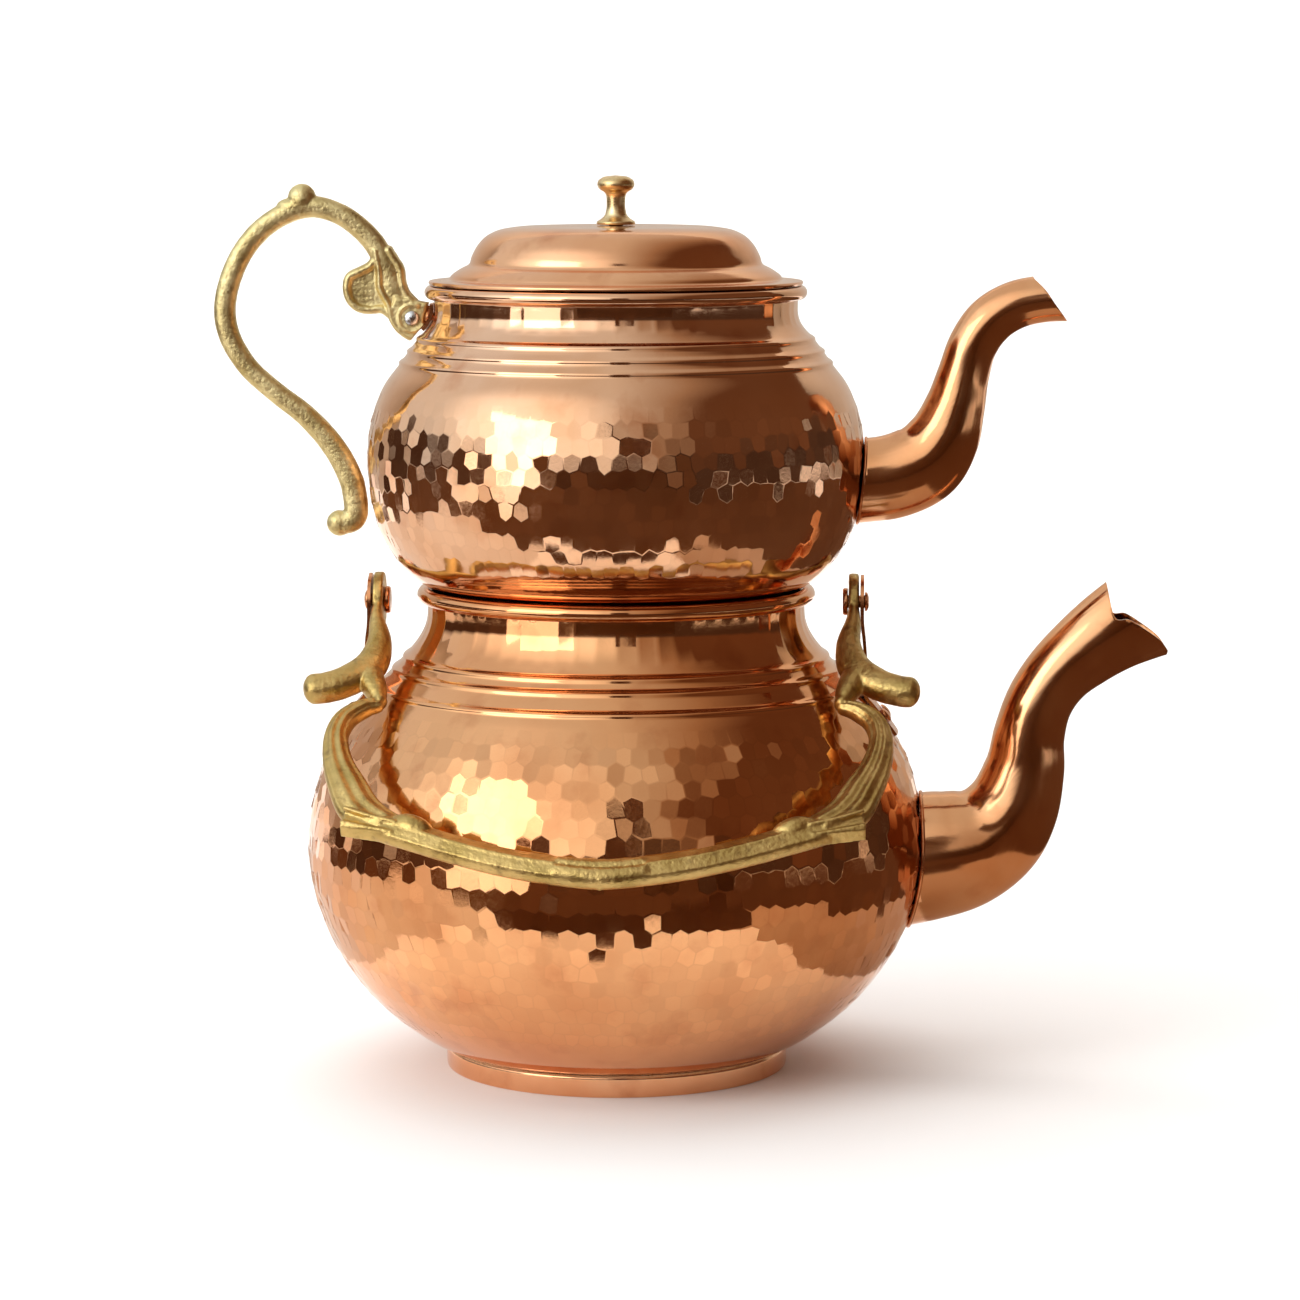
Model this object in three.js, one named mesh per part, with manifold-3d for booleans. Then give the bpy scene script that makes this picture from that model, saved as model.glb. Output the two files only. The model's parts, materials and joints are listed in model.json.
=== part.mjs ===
// A two-tier copper tea kettle: a hammered kettle with a brass bail handle, a smaller hammered teapot with a
// cast brass side handle that sits in the kettle's mouth, and the teapot's domed lid.
// Millimetres, +Z up. The origin is the middle of the kettle's underside. Both spouts point along +X.
import * as THREE from "three";
import { mergeVertices } from "three/addons/utils/BufferGeometryUtils.js";
import Module from "manifold-3d";

// ---------- driving dimensions ----------
const SHEET = 1.4; // copper sheet of the two bodies and their base pans
const THIN_SHEET = 1.2; // copper sheet of the spouts, the lid and the fittings
const GAP = 0.3; // left between pieces that are soldered, riveted or resting on each other

// A body's outline runs upwards as [radius, height] on the outer face.
const KETTLE_OUTLINE = [
  [62, 8.3], [72, 14], [86.5, 26], [98.5, 42], [106, 59.5], [109, 76], [107.3, 94.5], [101.5, 113],
  [88.5, 131], [76.5, 144], [69.8, 152], [66.8, 158.5], [66.2, 165.2],
];
const KETTLE_BELLY = 76; // height of the widest place
const KETTLE_RIDGES = [136, 142.3, 146.6]; // heights of the turned ridges round the shoulder
const KETTLE_FOOT = { radius: 60.4, height: 7.6, floor: 0 };
const KETTLE_BEAD = { radius: 67.2, height: 168, thickness: 2.8 };

const TEAPOT_OUTLINE = [
  [64, 169.7], [71.5, 174.6], [78.3, 182], [84.4, 194.5], [87.3, 213], [85.8, 229], [81.5, 240.5],
  [75.8, 248.5], [70, 256.5], [65.3, 262], [63.7, 266], [63.6, 270.8],
];
const TEAPOT_RIDGES = [249.6, 253.6, 258];
const TEAPOT_FOOT = { radius: 62.2, height: 6.8, floor: 162.4 };
const TEAPOT_BEAD = { radius: 64.4, height: 273.7, thickness: 2.45 };
const NECK_HEIGHT = 266; // middle of the teapot's straight neck

const RIDGE = { rise: 0.9, half: 1.3 };
const SKIRT_CLEARANCE = 0.4; // a body's skirt ends this far above its base pan, besides the gap
const PAN_BEVEL = 1.2;
const BEAD_SWEEP = { from: -112, to: 206 }; // degrees round a bead, from the neck's outer face to the inner

// Spouts, bars and arms are lists of [x, z, half width in the XZ plane, half depth along Y].
const KETTLE_SPOUT = [
  [88, 71.5, 24, 20.5], [108, 74.5, 23, 19.5], [122, 77.5, 21.5, 18.5], [133, 83.5, 19, 16.5],
  [140, 93, 16.5, 15], [144, 106, 14.2, 13.5], [145.5, 118, 12.6, 12.6], [149, 130, 11.8, 12],
  [155.5, 140, 12, 11.6], [164.5, 148.3, 13.3, 11.4], [175, 156, 15, 11], [187.5, 163, 17.2, 10.4],
  [198, 168, 18.6, 10],
];
// The beak: the top of the tube ends in an upright cut, and the lower lip runs on to a pouring tip.
const KETTLE_MOUTH_CUT = [
  [170, 200], [171.6, 174], [174.4, 161.4], [179.5, 160.4], [185.4, 156.8], [190.6, 152.9], [193.5, 149],
  [192.6, 140], [230, 140], [230, 200],
];
const TEAPOT_SPOUT = [
  [70, 207, 15.2, 13], [87, 208, 14.8, 12.6], [98, 209.7, 14.8, 12.4], [108, 214.5, 14.4, 12],
  [114.5, 223, 12.8, 11.2], [118.5, 234, 10.6, 10.2], [121.3, 245, 9.1, 9.2], [124.6, 255.5, 8.6, 8.8],
  [130.5, 264, 8.6, 8.6], [139, 269.3, 8.4, 8.4], [149, 271.5, 8.2, 8.2], [161, 272, 8.2, 8],
];
const TEAPOT_MOUTH_CUT = [
  [143, 284], [145.6, 278.6], [149.4, 274.8], [152.6, 270.2], [157.6, 263.2], [160, 258], [180, 258],
  [180, 284],
];
const STRAINER = { radius: 1.6, pitch: 6.4, height: 208, from: 74, to: 96 };

const PIVOT = { x: 83.6, z: 165.2, pin: 2.2 }; // bail pivots, on the line y = 0
const EYE = { radius: 10.2, thickness: 3.6 };
const LUG = { width: 19, foot: 99, inner: PIVOT.x + EYE.thickness / 2 + 0.6 };
const LUG_RIVET = { x: 93.5, y: 5.2, shank: 1.5, head: 2.7, rise: 1.4 };
const BAIL_RIVET = { head: 4.8, thickness: 1.8, bevel: 0.6, tail: 3.4, rise: 1.5 };
const HEAD_SEAT = 0.7; // a flat head stands this far off the hollow of a curved wall
const BAIL_REST = 124.4; // degrees from upright to where the bow lies on the kettle's belly

// The right half of the bail, drawn upright with the pivot axis as X.
const BAIL_BOW = [
  [78, 55, 2.4, 3], [84.5, 57.2, 3.2, 3.6], [90.3, 63, 3.8, 4], [92.7, 72.5, 4.2, 4.2], [91, 85, 5.2, 4.2],
  [86.6, 97, 6.6, 4.2], [81.5, 108, 7.2, 4.2], [73, 115.5, 6, 4.2], [62, 121, 5.2, 4.2],
  [49, 126.5, 5, 4.2], [32.5, 132.2, 5, 4.2], [16, 136, 5.1, 4.2], [0, 137.8, 5.4, 4.2],
];
const BAIL_ARM = [
  [83.6, 6, 1.8, 5.6], [83.2, 14, 2.8, 4.9], [81.6, 24, 4.2, 4.6], [83.8, 35.5, 5.6, 4.8],
  [91.5, 43.5, 5.6, 5], [100.5, 47, 5.3, 5.2], [106.4, 47.6, 2.6, 2.6],
];
const BAIL_LEAF = [[85.4, 35, 5, 4.4], [83, 43, 5, 4.6], [80.6, 50, 3.6, 4], [78.8, 55.4, 2, 2.8]];
const BAIL_CORNER = { outline: [[87.6, 118.4], [85.6, 103], [70, 112], [70, 122.6]], thickness: 6 };
const BAIL_KNUCKLE = { x: 63.4, z: 115.8, radius: 6.2, squash: 0.9 };
const BAIL_POINT = { outline: [[-9, 139], [0, 143.4], [9, 139], [0, 134]], thickness: 5 };

const HANDLE_STEM = [
  [-72, 264.6, 6.2, 4.4], [-77.5, 273, 5.4, 4.4], [-80, 282, 4.4, 4.2], [-85.5, 292, 4.2, 4.1],
  [-96, 300.4, 4.1, 4], [-108, 303.2, 4, 4], [-121, 297.8, 4, 4], [-131, 287, 4, 4], [-136.7, 272.5, 4, 4],
  [-136.4, 260, 4, 4], [-130, 248, 4, 4], [-120, 238.6, 4.1, 4.1], [-109, 230, 4.2, 4.1],
  [-99.5, 219.5, 4.1, 4.1], [-93.3, 208, 3.9, 4], [-91.4, 198, 3.8, 4], [-93, 192.6, 3.6, 3.8],
  [-97.5, 191.4, 3.4, 3.6],
];
const HANDLE_BOSS = { x: -110.6, z: 306.6, radius: 4.9, squash: 0.9 };
const HANDLE_CURL = { x: -97.6, z: 191.8, radius: 4.2, squash: 0.95 };
const HANDLE_LEAF = { x: -90.4, z: 274, across: 5, depth: 3.6, up: 6.8 };
const HANDLE_WEB = { outline: [[-92, 268.6], [-76, 266], [-77, 284], [-90, 279.6]], thickness: 5.6 };
const HANDLE_FORK = { top: 270.4, foot: 256.6, back: [[-77, 275], [-79, 262]], thickness: 8.8 };
const HANDLE_PIN = { x: -71.2, z: 264.6, radius: 1.6, head: 2.7, rise: 1.4 };
const BRACKET = { reach: -75.6, low: 260.2, high: 269.2, tongue: 2.4 };
const BRACKET_PAD = { width: 16, low: 259.8, high: 269.8 };
const BRACKET_RIVET = { height: 264.8, y: 6.2, shank: 1, head: 1.7, rise: 0.9 };

// The lid's faces as [radius, height above the bead], the outer one inwards and the inner one outwards.
const LID_SEAT = 276.5;
const LID_RISE = 20.3;
const LID_OUTER = [
  [65.5, 1.2], [58, 1.8], [56.8, 3.4], [54.4, 5.4], [50.4, 6.8], [50.2, 9], [48.6, 13], [46, 16],
  [41.6, 18.8], [34, 19.9], [24, 20.3],
];
const LID_INNER = [
  [24, 19.1], [33.6, 18.7], [40.8, 17.7], [44.9, 15.1], [47.4, 12.6], [49, 9], [49, 6.2], [53.8, 4.3],
  [55.8, 1.8], [57.4, 0], [65.5, 0],
];
const COLLAR = { radius: 59.8, depth: 9, flange: 3.4 };
const STUD = { radius: 2, length: 5.6 };
const KNOB_OUTLINE = [
  [6.8, 0], [6.8, 0.9], [4.9, 2.2], [3.9, 3.2], [3.2, 6], [3.2, 9.9], [3.8, 11.3], [6, 12.3], [6.6, 13.9],
  [5.9, 15.6], [4, 16.7], [0, 17.1],
];
const WASHER = { radius: 6, thickness: 0.9 };
const NUT = { radius: 4, height: 2.4 };

// How finely round shapes are divided.
const ROUND = 36; // facets round a large turned piece
const SMALL_ROUND = 20; // facets round a pivot or a bore
const RIVET_ROUND = 12;
const OUTLINE_STEPS = 15; // rows up a body's outer face
const INNER_STEPS = 12; // rows up its inner face
const BEAD_STEPS = 8;

const LID_TOP = LID_SEAT + LID_RISE;

// ---------- solids ----------
const wasm = await Module();
wasm.setup();

// A three.js geometry as a manifold-3d solid.
function solid(geometry) {
  const bare = geometry.clone();
  for (const name of Object.keys(bare.attributes)) {
    if (name !== "position") bare.deleteAttribute(name);
  }
  const merged = mergeVertices(bare, 1e-4);
  return new wasm.Manifold(
    new wasm.Mesh({
      numProp: 3,
      vertProperties: new Float32Array(merged.attributes.position.array),
      triVerts: new Uint32Array(merged.index.array),
    }),
  );
}

// A manifold-3d solid as a three.js geometry.
function geometryOf(made) {
  const mesh = made.getMesh();
  const positions = new Float32Array(mesh.numVert * 3);
  for (let i = 0; i < mesh.numVert; i++) {
    positions.set(mesh.vertProperties.subarray(i * mesh.numProp, i * mesh.numProp + 3), i * 3);
  }
  const geometry = new THREE.BufferGeometry();
  geometry.setAttribute("position", new THREE.BufferAttribute(positions, 3));
  geometry.setIndex(new THREE.BufferAttribute(new Uint32Array(mesh.triVerts), 1));
  geometry.computeVertexNormals();
  return geometry;
}

const united = (...pieces) => pieces.reduce((all, piece) => all.add(piece));

// The largest body of a solid, without slivers left by cuts.
const largest = (made) => made.decompose().reduce((a, b) => (a.volume() > b.volume() ? a : b));

// Turns a closed [radius, height] profile round the Z axis. The profile may run either way round.
function turned(profile, facets = ROUND) {
  const area = profile.reduce((sum, [r, z], i) => {
    const [nextR, nextZ] = profile[(i + 1) % profile.length];
    return sum + r * nextZ - nextR * z;
  }, 0);
  const ordered = area > 0 ? profile : [...profile].reverse();
  const points = [...ordered, ordered[0]].map(([r, z]) => new THREE.Vector2(Math.max(r, 0), z));
  return new THREE.LatheGeometry(points, facets).rotateX(Math.PI / 2);
}

// A round bar along X from x0 to x1, centred on (y, z).
function barX(radius, x0, x1, y, z, facets = SMALL_ROUND) {
  const bar = new THREE.CylinderGeometry(radius, radius, x1 - x0, facets).rotateZ(Math.PI / 2);
  return bar.translate((x0 + x1) / 2, y, z);
}

// A closed solid through rings of equal length. Open rings are capped, looped rings close on themselves.
function lofted(rings, looped = false) {
  const sides = rings[0].length;
  const positions = rings.flat().flatMap((p) => [p.x, p.y, p.z]);
  const faces = [];
  const spans = looped ? rings.length : rings.length - 1;
  for (let i = 0; i < spans; i++) {
    const here = i * sides;
    const next = ((i + 1) % rings.length) * sides;
    for (let j = 0; j < sides; j++) {
      const k = (j + 1) % sides;
      faces.push(here + j, next + k, here + k, here + j, next + j, next + k);
    }
  }
  if (!looped) {
    const last = (rings.length - 1) * sides;
    for (let j = 1; j < sides - 1; j++) {
      faces.push(0, j, j + 1, last, last + j + 1, last + j);
    }
  }
  const geometry = new THREE.BufferGeometry();
  geometry.setAttribute("position", new THREE.Float32BufferAttribute(positions, 3));
  geometry.setIndex(faces);
  return geometry;
}

// Elliptical rings along a curve in the XZ plane, through stations of [x, z, half width, half depth].
function ringsAlong(stations, count, sides, shrink = 0) {
  const line = new THREE.CatmullRomCurve3(stations.map(([x, z]) => new THREE.Vector3(x, 0, z)));
  const widths = new THREE.CatmullRomCurve3(stations.map(([, , a, b]) => new THREE.Vector3(a, b, 0)));
  return Array.from({ length: count + 1 }, (_, i) => {
    const t = i / count;
    const centre = line.getPoint(t);
    const tangent = line.getTangent(t);
    const across = new THREE.Vector3(-tangent.z, 0, tangent.x);
    const half = widths.getPoint(t);
    return Array.from({ length: sides }, (_, j) => {
      const angle = (2 * Math.PI * j) / sides;
      const point = centre.clone().addScaledVector(across, (half.x - shrink) * Math.cos(angle));
      point.y += (half.y - shrink) * Math.sin(angle);
      return point;
    });
  });
}

// A flat plate lying in the XZ plane, centred on y = 0.
function plate(outline, thickness) {
  const shape = new THREE.Shape(outline.map(([x, z]) => new THREE.Vector2(x, z)));
  const geometry = new THREE.ExtrudeGeometry(shape, { depth: thickness, bevelEnabled: false });
  return geometry.rotateX(Math.PI / 2).translate(0, thickness / 2, 0);
}

const rectangle = (x0, x1, z0, z1) => [[x0, z0], [x0, z1], [x1, z1], [x1, z0]];

function ball({ x, z, radius, squash }) {
  return new THREE.SphereGeometry(radius, 10, 7).scale(1, squash, 1).translate(x, 0, z);
}

// ---------- outlines of the two bodies ----------
// The radius of a smooth outline at a height. Past either end it stays at the end's radius.
function radiusOf(outline) {
  const curve = new THREE.SplineCurve(outline.map(([r, z]) => new THREE.Vector2(r, z)));
  const samples = curve.getPoints(400);
  return (z) => {
    const after = samples.findIndex((p) => p.y >= z);
    if (after < 0) return samples[samples.length - 1].x;
    if (after === 0) return samples[0].x;
    const [low, high] = [samples[after - 1], samples[after]];
    return low.x + ((high.x - low.x) * (z - low.y)) / (high.y - low.y);
  };
}

// How fast the radius grows with height, measured over one millimetre.
const slopeAt = (radius, z) => radius(z + 0.5) - radius(z - 0.5);

// The lowest height from start at which a narrowing outline is down to a radius.
function heightAt(outline, wanted, start) {
  const radius = radiusOf(outline);
  const step = 0.25;
  let z = start;
  while (radius(z) > wanted) z += step;
  return z;
}

// The outline's points from bottom to top, each pushed out by offset along its normal.
function outlinePoints(outline, steps, offset = 0) {
  const radius = radiusOf(outline);
  const bottom = outline[0][1];
  const top = outline[outline.length - 1][1];
  return Array.from({ length: steps + 1 }, (_, i) => {
    const z = bottom + ((top - bottom) * i) / steps;
    const span = Math.min(z + 0.5, top) - Math.max(z - 0.5, bottom);
    const slope = slopeAt(radius, z) / span;
    const length = Math.hypot(1, slope);
    return [radius(z) + offset / length, z - (offset * slope) / length];
  });
}

// Puts small turned ridges on an outline.
function withRidges(points, outline, ridges) {
  const radius = radiusOf(outline);
  const clear = points.filter(([, z]) => ridges.every((at) => Math.abs(z - at) > RIDGE.half * 1.2));
  const crests = ridges.flatMap((at) => [
    [radius(at - RIDGE.half), at - RIDGE.half],
    [radius(at) + RIDGE.rise, at],
    [radius(at + RIDGE.half), at + RIDGE.half],
  ]);
  return [...clear, ...crests].sort((a, b) => a[1] - b[1]);
}

// The rolled bead on a mouth, from the outer face of the neck over the top to the inner face.
function beadArc({ radius, height, thickness }) {
  return Array.from({ length: BEAD_STEPS + 1 }, (_, i) => {
    const degrees = THREE.MathUtils.lerp(BEAD_SWEEP.from, BEAD_SWEEP.to, i / BEAD_STEPS);
    const angle = THREE.MathUtils.degToRad(degrees);
    return [radius + thickness * Math.cos(angle), height + thickness * Math.sin(angle)];
  });
}

// A body: skirt that stands inside the base pan, belly, neck and rolled bead.
function bodyShell(outline, ridges, foot, bead) {
  const skirt = foot.radius - SHEET - GAP;
  const seam = outline[0][1];
  const skirtEnd = foot.floor + SHEET + GAP + SKIRT_CLEARANCE;
  const outer = withRidges(outlinePoints(outline, OUTLINE_STEPS), outline, ridges);
  const lining = outlinePoints(outline, INNER_STEPS, -SHEET);
  const inner = lining.filter(([r, z]) => z > seam + SHEET && r > skirt - SHEET);
  const profile = [
    [skirt - SHEET, skirtEnd],
    [skirt, skirtEnd],
    [skirt, seam],
    ...outer,
    ...beadArc(bead),
    ...inner.reverse(),
    [skirt - SHEET, seam + SHEET],
  ];
  return solid(turned(profile));
}

// A base pan: flat floor with an upright rim that the body's skirt stands in.
function basePan({ radius, height, floor }) {
  const inside = radius - SHEET;
  const profile = [
    [0, floor],
    [radius - PAN_BEVEL, floor],
    [radius, floor + PAN_BEVEL],
    [radius, floor + height],
    [inside, floor + height],
    [inside, floor + SHEET],
    [0, floor + SHEET],
  ];
  return solid(turned(profile));
}

// The space inside a body's outer face, grown by offset. Soldered and riveted pieces are cut back by it.
function envelope(outline, offset) {
  const points = outlinePoints(outline, OUTLINE_STEPS, offset);
  return solid(turned([[0, points[0][1]], ...points, [0, points[points.length - 1][1]]]));
}

// A patch of sheet that lies on a body, inside the given box.
function patch(outline, thickness, centre, size) {
  const sheet = envelope(outline, GAP + thickness).subtract(envelope(outline, GAP));
  return sheet.intersect(solid(new THREE.BoxGeometry(...size).translate(...centre)));
}

// ---------- spouts ----------
function spout(stations, mouthCut, outline) {
  const steps = 17;
  const sides = 18;
  const outer = ringsAlong(stations, steps, sides);
  const inner = ringsAlong(stations, steps, sides, THIN_SHEET).reverse();
  const tube = solid(lofted([...outer, ...inner], true));
  const mouth = solid(plate(mouthCut, 60));
  return largest(tube.subtract(mouth).subtract(envelope(outline, GAP)));
}

// The hole that a spout's root covers in the body's wall.
function spoutOpening(stations) {
  const margin = THIN_SHEET + 1;
  return solid(lofted(ringsAlong(stations.slice(0, 3), 3, 20, margin)));
}

// Round holes through the teapot's wall behind its spout, which hold back the leaves.
function strainerHoles() {
  const { radius, pitch, height, from, to } = STRAINER;
  const holes = [];
  for (const row of [-1.5, -0.5, 0.5, 1.5]) {
    const places = Math.abs(row) > 1 ? [-0.5, 0.5] : [-1, 0, 1];
    for (const column of places) {
      const z = height + row * pitch * Math.sin(Math.PI / 3);
      holes.push(solid(barX(radius, from, to, column * pitch, z, 10)));
    }
  }
  return holes;
}

// ---------- lugs, rivets and pins ----------
// The frame on a body's outer face at height z and depth y, with Z along the outward normal.
function faceFrame(outline, z, y, side) {
  const radius = radiusOf(outline);
  const r = radius(z);
  const angle = Math.asin(y / r);
  const slope = slopeAt(radius, z);
  const outward = new THREE.Vector3(side * Math.cos(angle), Math.sin(angle), -slope).normalize();
  const along = new THREE.Vector3(0, 1, 0).cross(outward).normalize();
  const across = outward.clone().cross(along);
  return new THREE.Matrix4()
    .makeBasis(along, across, outward)
    .setPosition(side * r * Math.cos(angle), y, z);
}

// A rivet through the body's wall and one sheet on it: domed head outside, flat head inside.
function wallRivet({ shank, head, rise }, frame) {
  const face = GAP + THIN_SHEET + GAP;
  const inside = -SHEET - GAP - HEAD_SEAT;
  const profile = [
    [0, inside - rise * 0.7],
    [head, inside - rise * 0.7],
    [head, inside],
    [shank, inside],
    [shank, face],
    [head, face],
    [head * 0.8, face + rise * 0.65],
    [head * 0.4, face + rise * 0.95],
    [0, face + rise],
  ];
  return solid(turned(profile, RIVET_ROUND).applyMatrix4(frame));
}

// The hole for such a rivet.
function rivetHole({ shank }, frame) {
  const bar = new THREE.CylinderGeometry(shank + GAP, shank + GAP, 12, RIVET_ROUND).rotateX(Math.PI / 2);
  return solid(bar.applyMatrix4(frame));
}

const lugRivetHeight = heightAt(KETTLE_OUTLINE, Math.hypot(LUG_RIVET.x, LUG_RIVET.y), KETTLE_BELLY);
const lugFrame = (y, side) => faceFrame(KETTLE_OUTLINE, lugRivetHeight, y, side);
const bracketFrame = (y) => faceFrame(TEAPOT_OUTLINE, BRACKET_RIVET.height, y, -1);

// The right-hand lug: a copper strap riveted to the shoulder, standing up beside the bail's eye.
function lug() {
  const { width, foot, inner } = LUG;
  const half = width / 2;
  const bottom = heightAt(KETTLE_OUTLINE, inner, KETTLE_BELLY) - 1;
  const upright = new THREE.Shape();
  upright.moveTo(-half, bottom);
  upright.lineTo(half, bottom);
  upright.lineTo(half, PIVOT.z);
  upright.absarc(0, PIVOT.z, half, 0, Math.PI, false);
  upright.closePath();
  upright.holes.push(new THREE.Path().absarc(0, PIVOT.z, PIVOT.pin + GAP, 0, 2 * Math.PI, true));
  const sheet = { depth: THIN_SHEET, bevelEnabled: false, curveSegments: 12 };
  const strap = new THREE.ExtrudeGeometry(upright, sheet)
    .applyMatrix4(new THREE.Matrix4().set(0, 0, 1, inner, 1, 0, 0, 0, 0, 1, 0, 0, 0, 0, 0, 1));
  const length = foot - inner;
  const pad = patch(KETTLE_OUTLINE, THIN_SHEET, [inner + length / 2, 0, 124], [length, width, 30]);
  const standing = solid(strap).subtract(envelope(KETTLE_OUTLINE, GAP));
  let made = united(standing, pad);
  for (const y of [-LUG_RIVET.y, LUG_RIVET.y]) {
    made = made.subtract(rivetHole(LUG_RIVET, lugFrame(y, 1)));
  }
  return made;
}

// The pivot of the right-hand eye: broad flat head towards the kettle, peened tail outside the lug.
function bailRivet() {
  const { head, thickness, bevel, tail, rise } = BAIL_RIVET;
  const eyeInner = PIVOT.x - EYE.thickness / 2 - GAP;
  const lugOuter = LUG.inner + THIN_SHEET + GAP;
  const profile = [
    [0, eyeInner - thickness],
    [head - bevel, eyeInner - thickness],
    [head, eyeInner - thickness + bevel],
    [head, eyeInner],
    [PIVOT.pin, eyeInner],
    [PIVOT.pin, lugOuter],
    [tail, lugOuter],
    [tail * 0.9, lugOuter + rise * 0.6],
    [tail * 0.45, lugOuter + rise],
    [0, lugOuter + rise],
  ];
  return solid(turned(profile, SMALL_ROUND).rotateY(Math.PI / 2).translate(0, 0, PIVOT.z));
}

// ---------- bail handle ----------
function bail() {
  const mirrored = ([x, ...rest]) => [-x, ...rest];
  const bow = [...BAIL_BOW, ...BAIL_BOW.slice(0, -1).reverse().map(mirrored)];
  const pieces = [
    barX(EYE.radius, PIVOT.x - EYE.thickness / 2, PIVOT.x + EYE.thickness / 2, 0, 0, 24),
    lofted(ringsAlong(BAIL_ARM, 11, 8)),
    lofted(ringsAlong(BAIL_LEAF, 4, 8)),
    plate(BAIL_CORNER.outline, BAIL_CORNER.thickness),
    ball(BAIL_KNUCKLE),
  ];
  const right = united(...pieces.map(solid));
  const middle = solid(plate(BAIL_POINT.outline, BAIL_POINT.thickness));
  let made = united(solid(lofted(ringsAlong(bow, 48, 8))), middle, right, right.mirror([1, 0, 0]));
  const hole = solid(barX(PIVOT.pin + GAP, PIVOT.x - 5, PIVOT.x + 5, 0, 0));
  for (const bore of [hole, hole.mirror([1, 0, 0])]) made = made.subtract(bore);
  return made;
}

// ---------- teapot handle ----------
const neckRadius = radiusOf(TEAPOT_OUTLINE)(NECK_HEIGHT);

// A round bar along Y at the handle's pin.
function pinBar(radius, length) {
  const bar = new THREE.CylinderGeometry(radius, radius, length, 16);
  return solid(bar.translate(HANDLE_PIN.x, 0, HANDLE_PIN.z));
}

function teapotHandle() {
  const stem = lofted(ringsAlong(HANDLE_STEM, 38, 8));
  const { across, depth, up, x, z } = HANDLE_LEAF;
  const leaf = new THREE.SphereGeometry(1, 10, 8).scale(across, depth, up).translate(x, 0, z);
  const web = plate(HANDLE_WEB.outline, HANDLE_WEB.thickness);
  const { top, foot, back, thickness } = HANDLE_FORK;
  const face = -neckRadius - GAP - THIN_SHEET - GAP;
  const fork = plate([[face, top], ...back, [face - 5.2, foot], [face - 3.2, foot]], thickness);
  const pieces = [stem, ball(HANDLE_BOSS), ball(HANDLE_CURL), leaf, web, fork];
  const slot = plate(rectangle(BRACKET.reach - GAP, 0, foot - 4, top + 6), BRACKET.tongue + 2 * GAP);
  const made = united(...pieces.map(solid))
    .subtract(solid(slot))
    .subtract(envelope(TEAPOT_OUTLINE, GAP + THIN_SHEET + GAP))
    .subtract(pinBar(HANDLE_PIN.radius + GAP, 12));
  return largest(made);
}

// The bracket: a pad that lies on the neck, and a tongue that the handle's forked end straddles.
function handleBracket() {
  const { reach, low, high, tongue } = BRACKET;
  const { width, low: padLow, high: padHigh } = BRACKET_PAD;
  const centre = [-neckRadius, 0, (padLow + padHigh) / 2];
  const sheet = patch(TEAPOT_OUTLINE, THIN_SHEET, centre, [20, width, padHigh - padLow]);
  const blade = solid(plate(rectangle(reach, -neckRadius, low, high), tongue));
  let made = united(sheet, blade.subtract(envelope(TEAPOT_OUTLINE, GAP)));
  made = made.subtract(pinBar(HANDLE_PIN.radius + GAP, 12));
  for (const y of [-BRACKET_RIVET.y, BRACKET_RIVET.y]) {
    made = made.subtract(rivetHole(BRACKET_RIVET, bracketFrame(y)));
  }
  return made;
}

// The steel pin through the forked end and the tongue, domed at both ends.
function handlePin() {
  const { x, z, radius, head, rise } = HANDLE_PIN;
  const half = HANDLE_FORK.thickness / 2 + GAP;
  const side = [[radius, half], [head, half], [head * 0.75, half + rise * 0.7], [0, half + rise]];
  const profile = [...side.map(([r, y]) => [r, -y]).reverse(), ...side];
  return solid(turned(profile, 16).rotateX(-Math.PI / 2).translate(x, 0, z));
}

// ---------- lid ----------
function lidShell() {
  const bore = STUD.radius + 0.4;
  const heights = ([r, z]) => [r, LID_SEAT + z];
  return solid(
    turned([
      ...LID_OUTER.map(heights),
      [bore, LID_TOP],
      [bore, LID_TOP - THIN_SHEET],
      ...LID_INNER.map(heights),
    ]),
  );
}

// The band soldered under the lid that drops into the teapot's neck.
function lidCollar() {
  const { radius, depth, flange } = COLLAR;
  const top = LID_SEAT - GAP;
  const inside = radius - THIN_SHEET;
  const profile = [
    [radius - flange, top],
    [radius, top],
    [radius, top - depth],
    [inside, top - depth],
    [inside, top - THIN_SHEET],
    [radius - flange, top - THIN_SHEET],
  ];
  return solid(turned(profile));
}

function lidKnob() {
  const foot = LID_TOP + GAP;
  const end = LID_TOP - STUD.length;
  const outline = KNOB_OUTLINE.map(([r, z]) => [r, foot + z]);
  return solid(turned([[0, end], [STUD.radius, end], [STUD.radius, foot], ...outline], 24));
}

function knobWasher() {
  const high = LID_TOP - THIN_SHEET - GAP;
  const low = high - WASHER.thickness;
  const inside = STUD.radius + GAP;
  return solid(turned([[inside, low], [WASHER.radius, low], [WASHER.radius, high], [inside, high]], 24));
}

function knobNut() {
  const high = LID_TOP - THIN_SHEET - GAP - WASHER.thickness - GAP;
  const middle = high - NUT.height / 2;
  const upright = (radius, height, sides) => {
    const prism = new THREE.CylinderGeometry(radius, radius, height, sides).rotateX(Math.PI / 2);
    return solid(prism.translate(0, 0, middle));
  };
  return upright(NUT.radius, NUT.height, 6).subtract(upright(STUD.radius + GAP, 2 * NUT.height, SMALL_ROUND));
}

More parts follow.
